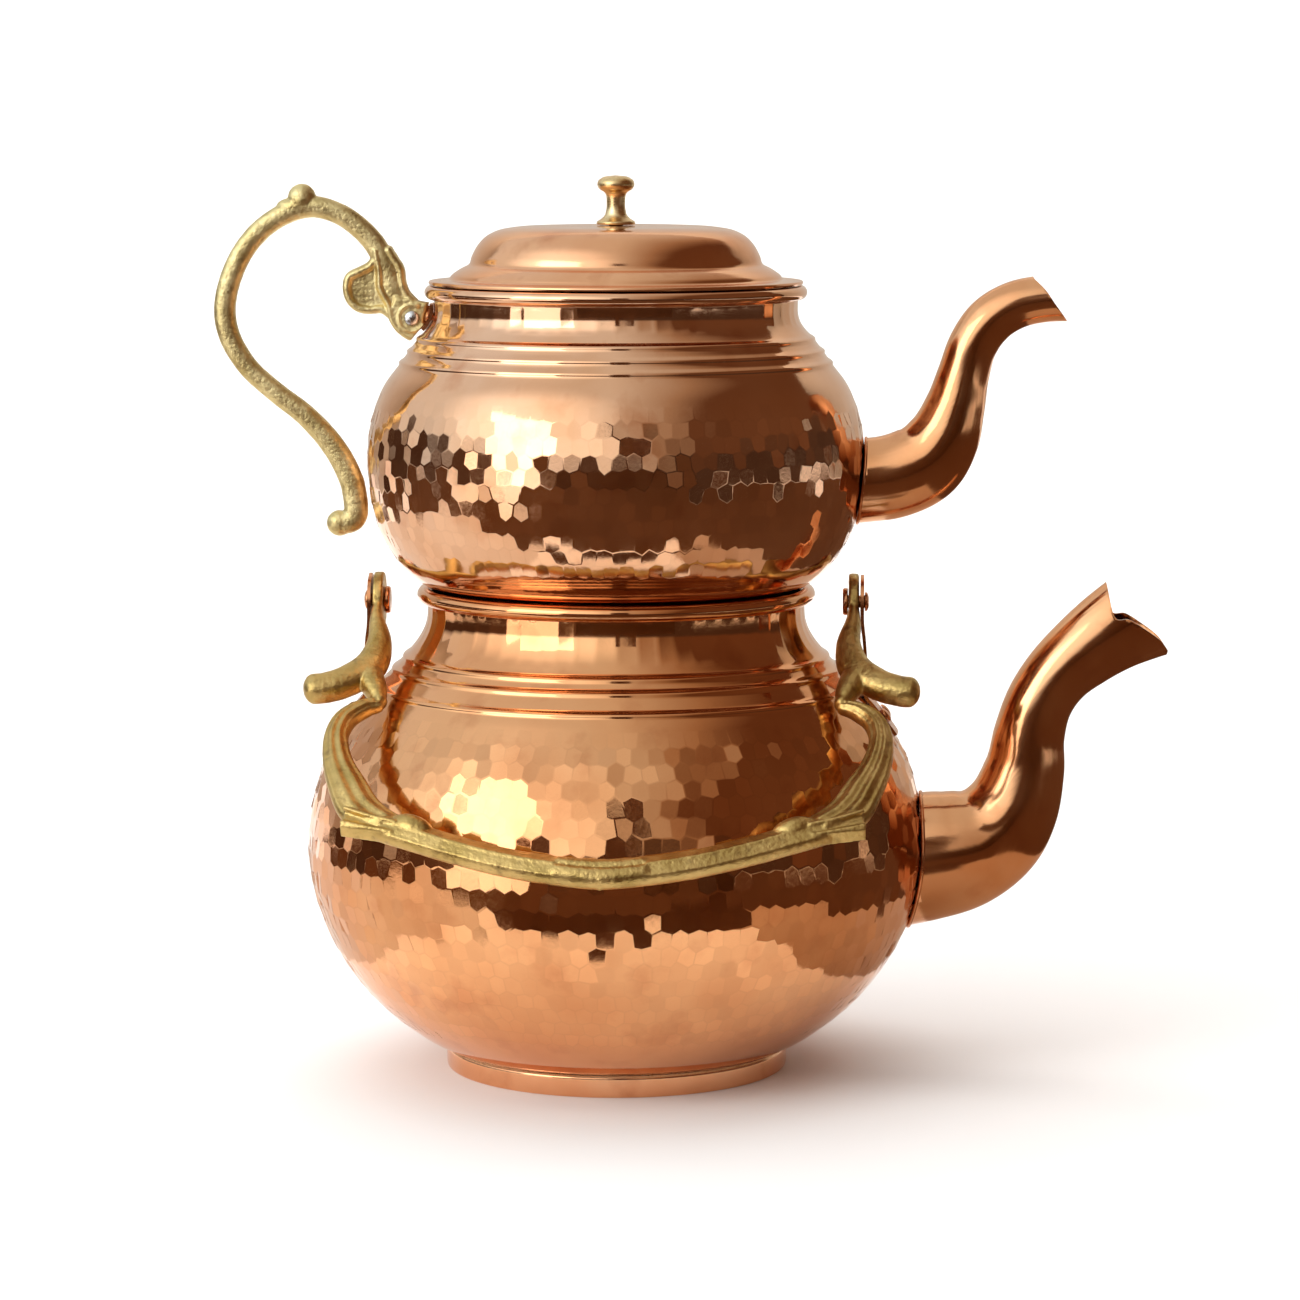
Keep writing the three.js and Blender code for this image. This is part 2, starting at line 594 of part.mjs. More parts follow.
// ---------- materials ----------
const finish = (color, roughness) => new THREE.MeshStandardMaterial({ color, roughness, metalness: 1 });
const COPPER = finish(0xc8794a, 0.18);
const SPOUT_COPPER = finish(0xb86a3e, 0.12);
const LID_COPPER = finish(0xd0885c, 0.16);
const CAST_BRASS = finish(0xa8914a, 0.38);
const TURNED_BRASS = finish(0xc49a58, 0.2);
const STEEL = finish(0xb9bcc0, 0.25);

// ---------- assembly ----------
const kettleSet = new THREE.Group();

function add(name, made, material, parent = kettleSet) {
  const mesh = new THREE.Mesh(geometryOf(made), material);
  mesh.name = name;
  parent.add(mesh);
}

// kettle
let kettleBody = bodyShell(KETTLE_OUTLINE, KETTLE_RIDGES, KETTLE_FOOT, KETTLE_BEAD);
kettleBody = kettleBody.subtract(spoutOpening(KETTLE_SPOUT));
for (const [side, sideName] of [[1, "right"], [-1, "left"]]) {
  for (const [y, place] of [[-LUG_RIVET.y, "front"], [LUG_RIVET.y, "rear"]]) {
    kettleBody = kettleBody.subtract(rivetHole(LUG_RIVET, lugFrame(y, side)));
    add(`lug_rivet_${sideName}_${place}`, wallRivet(LUG_RIVET, lugFrame(y, side)), COPPER);
  }
}
add("kettle_body", kettleBody, COPPER);
add("kettle_base", basePan(KETTLE_FOOT), COPPER);
add("kettle_spout", spout(KETTLE_SPOUT, KETTLE_MOUTH_CUT, KETTLE_OUTLINE), SPOUT_COPPER);
const rightLug = lug();
add("lug_right", rightLug, COPPER);
add("lug_left", rightLug.mirror([1, 0, 0]), COPPER);
const rightBailRivet = bailRivet();
add("bail_rivet_right", rightBailRivet, COPPER);
add("bail_rivet_left", rightBailRivet.mirror([1, 0, 0]), COPPER);

// bail handle, resting forwards on the belly
const bailGroup = new THREE.Group();
bailGroup.position.z = PIVOT.z;
bailGroup.rotation.x = THREE.MathUtils.degToRad(BAIL_REST);
kettleSet.add(bailGroup);
add("bail_handle", bail(), CAST_BRASS, bailGroup);

// teapot
let teapotBody = bodyShell(TEAPOT_OUTLINE, TEAPOT_RIDGES, TEAPOT_FOOT, TEAPOT_BEAD);
for (const hole of strainerHoles()) teapotBody = teapotBody.subtract(hole);
for (const [y, place] of [[-BRACKET_RIVET.y, "front"], [BRACKET_RIVET.y, "rear"]]) {
  teapotBody = teapotBody.subtract(rivetHole(BRACKET_RIVET, bracketFrame(y)));
  add(`bracket_rivet_${place}`, wallRivet(BRACKET_RIVET, bracketFrame(y)), COPPER);
}
add("teapot_body", teapotBody, COPPER);
add("teapot_base", basePan(TEAPOT_FOOT), COPPER);
add("teapot_spout", spout(TEAPOT_SPOUT, TEAPOT_MOUTH_CUT, TEAPOT_OUTLINE), SPOUT_COPPER);
add("teapot_handle", teapotHandle(), CAST_BRASS);
add("handle_bracket", handleBracket(), COPPER);
add("handle_pin", handlePin(), STEEL);

// lid
add("lid_shell", lidShell(), LID_COPPER);
add("lid_collar", lidCollar(), LID_COPPER);
add("lid_knob", lidKnob(), TURNED_BRASS);
add("knob_washer", knobWasher(), TURNED_BRASS);
add("knob_nut", knobNut(), TURNED_BRASS);

export default kettleSet;
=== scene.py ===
"""The looks of a two-tier copper tea kettle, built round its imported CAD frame."""
import json
import math

import bmesh
import bpy
import numpy as np
from mathutils import Matrix, Vector
from mathutils.kdtree import KDTree


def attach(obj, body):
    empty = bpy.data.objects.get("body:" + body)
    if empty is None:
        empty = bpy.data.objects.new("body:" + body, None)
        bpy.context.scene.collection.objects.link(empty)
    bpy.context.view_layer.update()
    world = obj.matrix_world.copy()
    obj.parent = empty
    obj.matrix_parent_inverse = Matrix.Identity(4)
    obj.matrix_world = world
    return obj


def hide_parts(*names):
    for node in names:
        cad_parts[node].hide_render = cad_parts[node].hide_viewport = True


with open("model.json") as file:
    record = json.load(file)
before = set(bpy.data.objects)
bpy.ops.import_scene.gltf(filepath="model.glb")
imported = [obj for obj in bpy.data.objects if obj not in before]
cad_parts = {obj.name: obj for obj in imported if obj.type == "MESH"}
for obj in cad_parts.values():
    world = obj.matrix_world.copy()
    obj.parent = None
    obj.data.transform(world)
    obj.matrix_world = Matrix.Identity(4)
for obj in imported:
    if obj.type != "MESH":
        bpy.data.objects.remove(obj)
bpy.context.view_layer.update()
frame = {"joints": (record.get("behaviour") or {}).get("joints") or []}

MM = 0.001  # every length below is in millimetres until it becomes a mesh
JOINTS = {joint["name"]: joint for joint in frame["joints"]}

# ---------- sizes shared with the CAD model ----------
SHEET = 1.4
THIN_SHEET = 1.2
GAP = 0.3

KETTLE_OUTLINE = [
    (62, 8.3), (72, 14), (86.5, 26), (98.5, 42), (106, 59.5), (109, 76), (107.3, 94.5), (101.5, 113),
    (88.5, 131), (76.5, 144), (69.8, 152), (66.8, 158.5), (66.2, 165.2),
]
KETTLE_RIDGES = (136, 142.3, 146.6)
KETTLE_FOOT = {"radius": 60.4, "height": 7.6, "floor": 0}
KETTLE_BEAD = {"radius": 67.2, "height": 168, "thickness": 2.8}
KETTLE_HAMMERED = (19, 72, 131)  # heights of the lowest, the lowest full and the highest hammer marks

TEAPOT_OUTLINE = [
    (64, 169.7), (71.5, 174.6), (78.3, 182), (84.4, 194.5), (87.3, 213), (85.8, 229), (81.5, 240.5),
    (75.8, 248.5), (70, 256.5), (65.3, 262), (63.7, 266), (63.6, 270.8),
]
TEAPOT_RIDGES = (249.6, 253.6, 258)
TEAPOT_FOOT = {"radius": 62.2, "height": 6.8, "floor": 162.4}
TEAPOT_BEAD = {"radius": 64.4, "height": 273.7, "thickness": 2.45}
TEAPOT_HAMMERED = (177, 202, 239)
RIDGE_RISE = 0.85
RIDGE_HALF = 1.3

# Stations of a spout: x, z, half width in the XZ plane, half depth along Y.
KETTLE_SPOUT = [
    (88, 71.5, 24, 20.5), (108, 74.5, 23, 19.5), (122, 77.5, 21.5, 18.5), (133, 83.5, 19, 16.5), (140, 93, 16.5, 15),
    (144, 106, 14.2, 13.5), (145.5, 118, 12.6, 12.6), (149, 130, 11.8, 12), (155.5, 140, 12, 11.6),
    (164.5, 148.3, 13.3, 11.4), (175, 156, 15, 11), (187.5, 163, 17.2, 10.4), (198, 168, 18.6, 10),
]
KETTLE_MOUTH_CUT = [
    (170, 200), (171.6, 174), (174.4, 161.4), (179.5, 160.4), (185.4, 156.8), (190.6, 152.9), (193.5, 149),
    (192.6, 140), (230, 140), (230, 200),
]
TEAPOT_SPOUT = [
    (70, 207, 15.2, 13), (87, 208, 14.8, 12.6), (98, 209.7, 14.8, 12.4), (108, 214.5, 14.4, 12),
    (114.5, 223, 12.8, 11.2), (118.5, 234, 10.6, 10.2), (121.3, 245, 9.1, 9.2), (124.6, 255.5, 8.6, 8.8),
    (130.5, 264, 8.6, 8.6), (139, 269.3, 8.4, 8.4), (149, 271.5, 8.2, 8.2), (161, 272, 8.2, 8),
]
TEAPOT_MOUTH_CUT = [
    (143, 284), (145.6, 278.6), (149.4, 274.8), (152.6, 270.2), (157.6, 263.2), (160, 258), (180, 258), (180, 284),
]

PIVOT_X, PIVOT_Z, PIVOT_PIN = 83.6, JOINTS["bail_swing"]["pos_m"][2] / MM, 2.2
EYE_RADIUS, EYE_THICKNESS = 10.2, 3.6
BAIL_REST = math.radians(124.4)
LUG_HALF_WIDTH, LUG_FOOT = 9.5, 99
LUG_INNER_X = PIVOT_X + EYE_THICKNESS / 2 + 0.6
LUG_RIVET = {"x": 93.5, "y": 5.2, "shank": 1.5, "head": 2.7, "rise": 1.4}
BRACKET_RIVET = {"z": 264.8, "y": 6.2, "shank": 1, "head": 1.7, "rise": 0.9}
HANDLE_PIN = {"x": -71.2, "z": 264.6, "radius": 1.6, "head": 2.7}

LID_SEAT, LID_TOP = 276.5, 296.8
KNOB_TOP = 314.2


# ---------- small geometry helpers ----------
def catmull_rom(points, per_span):
    """Points on a smooth curve through the given ones, in any number of dimensions."""
    p = np.array(points, float)
    ends = np.vstack([2 * p[0] - p[1], p, 2 * p[-1] - p[-2]])
    t = np.linspace(0, 1, per_span, endpoint=False)[:, None]
    spans = []
    for a, b, c, d in zip(ends, ends[1:], ends[2:], ends[3:]):
        square, cube = 2 * a - 5 * b + 4 * c - d, 3 * b - a - 3 * c + d
        spans.append(0.5 * (2 * b + (c - a) * t + square * t**2 + cube * t**3))
    return np.vstack([*spans, p[-1:]])


def unit(vectors):
    return vectors / np.linalg.norm(vectors, axis=-1, keepdims=True)


def arc_lengths(points):
    return np.concatenate([[0], np.cumsum(np.linalg.norm(np.diff(points, axis=0), axis=1))])


def radius_at(outline):
    """A function that gives the outline's radius at a height."""
    curve = catmull_rom(outline, 40)
    return lambda z: np.interp(z, curve[:, 1], curve[:, 0])


def above_face(radius, z, offset):
    """Radius and height of the point that stands off an outer face by an offset at height z, and the slope."""
    slope = float(radius(z + 0.5) - radius(z - 0.5))
    grow = offset / math.hypot(1, slope)
    return float(radius(z)) + grow, z - grow * slope, slope


def offset_curve(curve, offset):
    """A curve of (radius, height) moved outwards by an offset."""
    slope = np.gradient(curve[:, 0], curve[:, 1])
    grow = offset / np.hypot(1, slope)
    return np.stack([curve[:, 0] + grow, curve[:, 1] - grow * slope], axis=1)


def filleted(corners, radius, steps=5):
    """A closed or open polyline's corners rounded with a radius, as far as the sides allow."""
    p = [np.array(c, float) for c in corners]
    made = [p[0]]
    for before, corner, after in zip(p, p[1:], p[2:]):
        into, away = corner - before, after - corner
        into_length, away_length = np.linalg.norm(into), np.linalg.norm(away)
        reach = min(radius, into_length / 2.2, away_length / 2.2)
        start, end = corner - into / into_length * reach, corner + away / away_length * reach
        for t in np.linspace(0, 1, steps):
            made.append((1 - t) ** 2 * start + 2 * t * (1 - t) * corner + t**2 * end)
    made.append(p[-1])
    return made


def raw_object(name, points, faces):
    """A mesh object from millimetre points."""
    mesh = bpy.data.meshes.new(name)
    mesh.from_pydata((np.asarray(points, float) * MM).tolist(), [], faces)
    obj = bpy.data.objects.new(name, mesh)
    bpy.context.scene.collection.objects.link(obj)
    return obj


def new_object(name, points, faces, sharp_degrees=50):
    """A mesh object without double points, its faces turned outwards."""
    obj = raw_object(name, points, faces)
    mesh = obj.data
    clean = bmesh.new()
    clean.from_mesh(mesh)
    bmesh.ops.remove_doubles(clean, verts=clean.verts, dist=1e-7)
    bmesh.ops.dissolve_degenerate(clean, edges=clean.edges, dist=1e-8)
    bmesh.ops.recalc_face_normals(clean, faces=clean.faces)
    clean.to_mesh(mesh)
    clean.free()
    smooth(obj, sharp_degrees)
    return obj


def smooth(obj, sharp_degrees=50):
    obj.data.shade_smooth()
    obj.data.set_sharp_from_angle(angle=math.radians(sharp_degrees))


def ring_faces(rows, sides, first=0, loop=False):
    """Quads between successive rings of points."""
    faces = []
    for i in range(rows if loop else rows - 1):
        here, there = first + i * sides, first + ((i + 1) % rows) * sides
        for j in range(sides):
            k = (j + 1) % sides
            faces.append((here + j, here + k, there + k, there + j))
    return faces


def capped_faces(rows, sides, first=0):
    """Quads between rings of points, closed by a flat face at each end."""
    last = first + rows * sides
    return [*ring_faces(rows, sides, first), tuple(range(first, first + sides)),
            tuple(range(last - 1, last - sides - 1, -1))]


def sheet_faces(rows, columns):
    """Faces of a sheet made of two equal grids of points, with the rim between them."""
    size = rows * columns
    quads = [(a, a + 1, a + columns + 1, a + columns)
             for i in range(rows - 1) for a in range(i * columns, i * columns + columns - 1)]
    rim = [*range(columns), *range(2 * columns - 1, size, columns), *range(size - 2, size - columns - 1, -1),
           *range(size - 2 * columns, 0, -columns)]
    return [*quads, *[tuple(size + q for q in reversed(quad)) for quad in quads],
            *[(a, b, size + b, size + a) for a, b in zip(rim, rim[1:] + rim[:1])]]


def turned(name, profile, segments, sharp_degrees=50):
    """A closed (radius, height) loop turned round Z."""
    angles = np.linspace(0, 2 * np.pi, segments, endpoint=False)
    r, z = np.array(profile, float).T
    points = np.stack(
        [np.outer(r, np.cos(angles)), np.outer(r, np.sin(angles)), np.repeat(z[:, None], segments, 1)], axis=2
    )
    return new_object(name, points.reshape(-1, 3), ring_faces(len(r), segments, loop=True), sharp_degrees)


def apply_modifiers(obj):
    graph = bpy.context.evaluated_depsgraph_get()
    mesh = bpy.data.meshes.new_from_object(obj.evaluated_get(graph))
    old = obj.data
    obj.modifiers.clear()
    obj.data = mesh
    bpy.data.meshes.remove(old)


def combine(obj, other, operation):
    """Joins the other object to this one or takes it away, and removes it."""
    boolean = obj.modifiers.new(operation, "BOOLEAN")
    boolean.operation = operation
    boolean.solver = "EXACT"
    boolean.object = other
    bpy.context.view_layer.update()
    apply_modifiers(obj)
    bpy.data.objects.remove(other)


def cut(obj, *cutters, sharp_degrees=50):
    for cutter in cutters:
        combine(obj, cutter, "DIFFERENCE")
    smooth(obj, sharp_degrees)


def block(outline, half_depth):
    """A flat plate in the XZ plane."""
    n = len(outline)
    points = [(x, y, z) for y in (-half_depth, half_depth) for x, z in outline]
    faces = [tuple(range(n)), tuple(range(2 * n - 1, n - 1, -1))]
    faces += [(i, (i + 1) % n, n + (i + 1) % n, n + i) for i in range(n)]
    return np.array(points, float), faces


def bar(name, radius, start, end, sides=32):
    """A round bar between two points."""
    start, end = Vector(start), Vector(end)
    turn = (end - start).to_track_quat("Z", "Y").to_matrix()
    points = []
    for centre in (start, end):
        for j in range(sides):
            angle = 2 * math.pi * j / sides
            points.append(centre + turn @ Vector((radius * math.cos(angle), radius * math.sin(angle), 0)))
    return new_object(name, points, capped_faces(2, sides))


def finish_piece(obj, body, slot, nodes, *materials):
    """Gives a piece its materials and says what it rides on and stands for."""
    for material in materials:
        obj.data.materials.append(material)
    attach(obj, body)
    if nodes:
        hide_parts(*nodes)
    return obj


# ---------- materials ----------
class Nodes:
    """The node tree of a material or a world, with short ways to add to it."""

    def __init__(self, owner):
        owner.use_nodes = True
        self.tree = owner.node_tree

    def feed(self, node, inputs):
        for key, value in inputs.items():
            if isinstance(value, bpy.types.NodeSocket):
                self.tree.links.new(value, node.inputs[key])
            else:
                node.inputs[key].default_value = value

    def add(self, kind, inputs=None, **settings):
        node = self.tree.nodes.new(kind)
        for key, value in settings.items():
            setattr(node, key, value)
        self.feed(node, inputs or {})
        return node

    def noise(self, vector, scale, detail=4):
        inputs = {"Vector": vector, "Scale": scale, "Detail": detail}
        return self.add("ShaderNodeTexNoise", inputs).outputs["Fac"]

    def remap(self, value, low, high, to_low=0, to_high=1, ease="LINEAR"):
        inputs = {"Value": value, "From Min": low, "From Max": high, "To Min": to_low, "To Max": to_high}
        return self.add("ShaderNodeMapRange", inputs, interpolation_type=ease).outputs["Result"]

    def ramp(self, value, *stops):
        node = self.add("ShaderNodeValToRGB", {"Fac": value})
        elements = node.color_ramp.elements
        while len(elements) < len(stops):
            elements.new(0.5)
        for element, (position, colour) in zip(elements, stops):
            element.position = position
            element.color = (*colour, 1)
        return node.outputs["Color"]

    def mixed(self, factor, a, b, blend="MIX"):
        return self.add("ShaderNodeMix", {0: factor, 6: a, 7: b}, data_type="RGBA", blend_type=blend).outputs[2]

    def drawn_lines(self, place):
        """A vector that changes fast across Y and slowly in X and Z, for marks drawn along a spout."""
        return self.add("ShaderNodeMapping", {0: place, 3: (0.04, 1, 0.04)}).outputs[0]

    def turning_lines(self, place):
        """A vector that changes fast along a radius and slowly round the axis, for marks left by a lathe."""
        parts = self.add("ShaderNodeSeparateXYZ", {0: place})
        flat = self.add("ShaderNodeCombineXYZ", {0: parts.outputs[0], 1: parts.outputs[1]})
        radius = self.add("ShaderNodeVectorMath", {0: flat.outputs[0]}, operation="LENGTH").outputs["Value"]
        return self.add("ShaderNodeCombineXYZ", {0: radius, 1: parts.outputs[2]}).outputs[0]


def metal(name, light, dark, stain, roughness, grain=(900, 0.012), patch=28, lines=None, hammered=False):
    """A metal whose colour drifts between light and dark with a few stains. grain is its fine relief's scale
    and depth in millimetres, roughness its lowest and highest value, lines a method of Nodes that draws it out.
    A hammered metal is a little lighter or darker from mark to mark, and darker along the lines between marks, which
    is painted shade."""
    material = bpy.data.materials.new(name)
    made = Nodes(material)
    place = made.add("ShaderNodeTexCoord").outputs["Object"]
    drift = made.noise(place, patch, 5)
    colour = made.ramp(drift, (0.35, dark), (0.62, light))
    stains = made.remap(made.noise(place, patch * 2.3, 8), 0.56, 0.74, 0, 0.55)
    colour = made.mixed(stains, colour, (*stain, 1))
    if hammered:
        # The attribute gives each mark a random lightness and lays painted shade along the lines between marks.
        tone = made.add("ShaderNodeAttribute", attribute_name=MARK_TONE_AND_SHADE).outputs["Fac"]
        shade = made.add("ShaderNodeCombineColor", {i: made.remap(tone, -3, 3, 0.82, 1.18) for i in range(3)})
        colour = made.mixed(1, colour, shade.outputs[0], "MULTIPLY")

    scale, depth = grain
    fine = made.noise(lines(made, place) if lines else place, scale, 4)
    low, high = roughness
    rough = made.add("ShaderNodeMath", {0: drift, 1: fine}, operation="MULTIPLY").outputs[0]
    relief = made.add("ShaderNodeBump", {"Height": fine, "Strength": 0.5, "Distance": depth * MM})
    made.feed(made.tree.nodes["Principled BSDF"], {
        "Metallic": 1, "Base Color": colour, "Roughness": made.remap(rough, 0.12, 0.4, low, high),
        "Normal": relief.outputs["Normal"],
    })
    return material


MARK_TONE_AND_SHADE = "mark_tone_and_painted_shade"  # the attribute that makes a hammer mark lighter or darker at random, and darkens the lines between marks with painted shade
SAME_PLACE = 1e-6  # metres between a mark's point and its vertex after the cuts
STAIN = (0.62, 0.24, 0.1)
KETTLE_COPPER = metal("kettle_copper", (0.85, 0.42, 0.19), (0.78, 0.35, 0.15), STAIN, (0.05, 0.13), hammered=True)
TEAPOT_COPPER = metal("teapot_copper", (0.87, 0.52, 0.32), (0.8, 0.43, 0.23), STAIN, (0.05, 0.13), hammered=True)
SPUN_COPPER = metal(
    "spun_copper", (0.88, 0.48, 0.26), (0.81, 0.39, 0.19), STAIN, (0.09, 0.2), (2600, 0.02),
    lines=Nodes.turning_lines,
)
SPOUT_COPPER = metal(
    "spout_copper", (0.84, 0.43, 0.21), (0.74, 0.33, 0.14), STAIN, (0.07, 0.19), (900, 0.16), 36, Nodes.drawn_lines
)
FITTING_COPPER = metal(
    "fitting_copper", (0.78, 0.37, 0.18), (0.62, 0.25, 0.1), (0.34, 0.13, 0.06), (0.14, 0.3), (1400, 0.03), 90
)
TIN = metal("tin_lining", (0.74, 0.72, 0.68), (0.6, 0.58, 0.54), (0.4, 0.36, 0.3), (0.22, 0.4), patch=60)
BAIL_BRASS = metal(
    "bail_brass", (0.7, 0.49, 0.18), (0.5, 0.34, 0.105), (0.2, 0.11, 0.04), (0.28, 0.48), (700, 0.6), 110
)
HANDLE_BRASS = metal(
    "handle_brass", (0.88, 0.73, 0.37), (0.62, 0.48, 0.2), (0.22, 0.13, 0.05), (0.32, 0.54), (800, 0.6), 140
)
TURNED_BRASS = metal(
    "turned_brass", (0.86, 0.66, 0.36), (0.76, 0.54, 0.25), (0.4, 0.22, 0.08), (0.22, 0.38), (3000, 0.03), 150,
    Nodes.turning_lines,
)
STEEL = metal("steel", (0.7, 0.7, 0.7), (0.5, 0.5, 0.5), (0.3, 0.27, 0.24), (0.16, 0.3), patch=200)


# ---------- hammered bodies ----------
KETTLE_MARK = 6.3  # across a hammer mark
TEAPOT_MARK = 5.3
MARK_SINK = 0.28  # how far a mark's middle lies inside the turned face
MARK_FLAT = 0.86  # the flat share of a mark, from its middle to its corners
MARK_LEAN = 0.042  # spread of the marks' lean, in radians
MARK_WANDER = 0.42  # spread of the marks' corners
MARK_FADE_LOW, MARK_FADE_HIGH = 8, 9  # over these lengths the marks fade out at the two edges of their band
SINK_WANDER = 0.015  # spread of how deep the marks are struck
HARD_BLOWS = 0.22  # share of the marks that mirror further aside than the others
HARD_ASIDE = 1.3  # how much further
PAINTED_SEAM_SHADE = -0.9  # painted shade: the lines between marks are darkened as if shade lay along them
FLAT_BEAT = 7.3  # gives successive flats of a neck unlike leans
FLATS_START, FLATS_END = 4.4, 0.4  # heights above the last ridge and above the outline's top
RIDGE_ROWS, NECK_ROWS, BEAD_ROWS = 36, 16, 19
NECK_FLATS = 62
NECK_FLAT_DEPTH = 0.12
NECK_FLAT_LEAN = 0.11  # how far one edge of a flat may stand behind the other


def on_face(profile, lengths, stops, angles):
    """Points of a turned face at lengths along its profile, and its outward normals there."""
    step = unit(np.gradient(profile, axis=0))
    r, z = (np.interp(stops, lengths, profile[:, i]) for i in (0, 1))
    out, up = np.interp(stops, lengths, step[:, 1]), np.interp(stops, lengths, -step[:, 0])
    turn = np.stack([np.cos(angles), np.sin(angles), np.ones_like(angles)], axis=-1)
    return np.stack([r, r, z], axis=-1) * turn, np.stack([out, out, up], axis=-1) * turn


def honeycomb(profile, lengths, marks, size, columns, random):
    """Staggered rows of flat hammer marks. Gives points, normals, tones, faces and the number of rows; the tones are
    random from mark to mark and hold painted shade on the lines between marks. The first and the last 2 * columns
    corner points lie on the turned face."""
    low, full, high = marks
    rows = round((high - low) / size)
    pitch = (high - low) / rows
    line, k = np.meshgrid(np.arange(rows + 1), np.arange(2 * columns), indexing="ij")
    free = (line > 0) & (line < rows)
    zigzag = np.where((k - line) % 2 == 1, pitch / 9, -pitch / 9)
    stops = low + line * pitch + free * (zigzag + random.normal(0, MARK_WANDER, k.shape))
    wander = free * random.normal(0, 2 * MARK_WANDER / size, k.shape)
    corners, corner_out = on_face(profile, lengths, stops, (k + wander) * np.pi / columns)

    row, j = np.meshgrid(np.arange(rows), np.arange(columns), indexing="ij")
    k = 2 * j + row % 2
    at = low + (row + 0.5) * pitch
    edges = np.clip((high - at) / MARK_FADE_HIGH, 0, 1) * np.clip((at - low) / MARK_FADE_LOW, 0, 1)
    strength = np.interp(at, [low, full], [0.35, 1]) * edges
    angle = k * np.pi / columns
    centre, out = on_face(profile, lengths, at, angle)
    around = np.stack([-np.sin(angle), np.cos(angle), 0 * angle], axis=-1)
    lean = strength[..., None] * random.normal(0, MARK_LEAN, (2, rows, columns))[..., None]
    facing = unit(out + lean[0] * around + lean[1] * np.cross(out, around))[:, :, None]
    sink = MARK_SINK * (0.4 + 0.6 * strength) + strength * random.normal(0, SINK_WANDER, k.shape)
    struck = (centre - out * sink[..., None])[:, :, None]

    lines = row[..., None] + (0, 0, 0, 1, 1, 1)
    ks = (k[..., None] + (-1, 0, 1, 1, 0, -1)) % (2 * columns)
    corner, outward = corners[lines, ks], corner_out[lines, ks]
    lift = ((struck - corner) * facing).sum(-1) / (outward * facing).sum(-1)
    height, shown = np.zeros(corners.shape[:2]), np.zeros(corners.shape)
    inner = centre[:, :, None] + MARK_FLAT * (corner - centre[:, :, None])
    out = out[:, :, None]
    inner = inner + out * (((struck - inner) * facing).sum(-1) / (out * facing).sum(-1))[..., None]
    body = unit(out + MARK_FLAT * (outward - out))
    aside = 1 + HARD_ASIDE * (random.random(k.shape) < HARD_BLOWS)
    shining = unit(out + aside[..., None, None] * (facing - out))
    inner_normal = unit(body + strength[..., None, None] * (shining - body))
    tones = np.repeat((strength * np.clip(random.normal(0, 1, k.shape), -2, 2)).ravel(), 6)
    np.add.at(height, (lines, ks), lift / 3)
    np.add.at(shown, (lines, ks), inner_normal)
    height = height * free
    shown[0], shown[-1] = corner_out[0], corner_out[-1]

    count = corners.shape[0] * corners.shape[1]
    outer_index = (lines * 2 * columns + ks).reshape(-1, 6).tolist()
    inner_index = (count + np.arange(rows * columns * 6)).reshape(-1, 6).tolist()
    faces = []
    for ring, flat in zip(outer_index, inner_index):
        faces.append(tuple(flat))
        faces += [(ring[m - 1], ring[m], flat[m], flat[m - 1]) for m in range(6)]
    points = np.concatenate([(corners + corner_out * height[..., None]).reshape(-1, 3), inner.reshape(-1, 3)])
    normals = np.concatenate([unit(shown).reshape(-1, 3), inner_normal.reshape(-1, 3)])
    # The corner points carry the painted shade of the lines between marks, the flats their random tones.
    tones = np.concatenate([(PAINTED_SEAM_SHADE * free).ravel(), tones])
    return points, normals, tones, faces, rows


def neck_flats(angles, heights, low, high):
    """How far each point of a neck lies inside its turned face: a ring of upright flats between two heights."""
    turn = angles * NECK_FLATS / (2 * np.pi)
    along = turn % 1 - 0.5
    beat = np.sin(FLAT_BEAT * np.floor(turn))
    lean = NECK_FLAT_LEAN * beat * (along - 0.5 * np.sign(beat))
    hollow = NECK_FLAT_DEPTH * (4 * along**2 - 1) + lean
    return np.clip(np.minimum(heights - low, high - heights) / 0.6, 0, 1) * hollow


def upper_profile(dense, lengths, ridges, high, bead):
    """Rows of the outer face above the hammer marks: ridges, neck and rolled bead."""
    ridge_end = float(np.interp(ridges[-1] + 2, dense[:, 1], lengths))
    stops = np.concatenate([np.linspace(high + 0.6, ridge_end, RIDGE_ROWS, endpoint=False),
                            np.linspace(ridge_end, lengths[-1], NECK_ROWS)])
    r, z = (np.interp(stops, lengths, dense[:, i]) for i in (0, 1))
    for ridge in ridges:
        near = np.clip(np.abs(z - ridge) / RIDGE_HALF, 0, 1)
        r = r + RIDGE_RISE * np.cos(near * np.pi / 2) ** 2
    rim = [
        (bead["radius"] + bead["thickness"] * math.cos(a), bead["height"] + bead["thickness"] * math.sin(a))
        for a in np.radians(np.linspace(-112, 206, BEAD_ROWS))
    ]
    return np.vstack([np.stack([r, z], axis=1), rim])


def lining_profile(outline, foot):
    """Rows of the inner face from the bead down to the skirt, and round the skirt."""
    inner = offset_curve(catmull_rom(outline, 2), -SHEET)
    skirt = foot["radius"] - SHEET - GAP
    seam = outline[0][1]
    keep = (inner[:, 1] > seam + SHEET) & (inner[:, 0] > skirt - SHEET) & (inner[:, 1] < outline[-1][1] - 1)
    end = foot["floor"] + SHEET + GAP + 0.4
    return np.vstack([inner[keep][::-1], [(skirt - SHEET, seam + SHEET), (skirt - SHEET, end), (skirt, end),
                                          (skirt, seam)]])


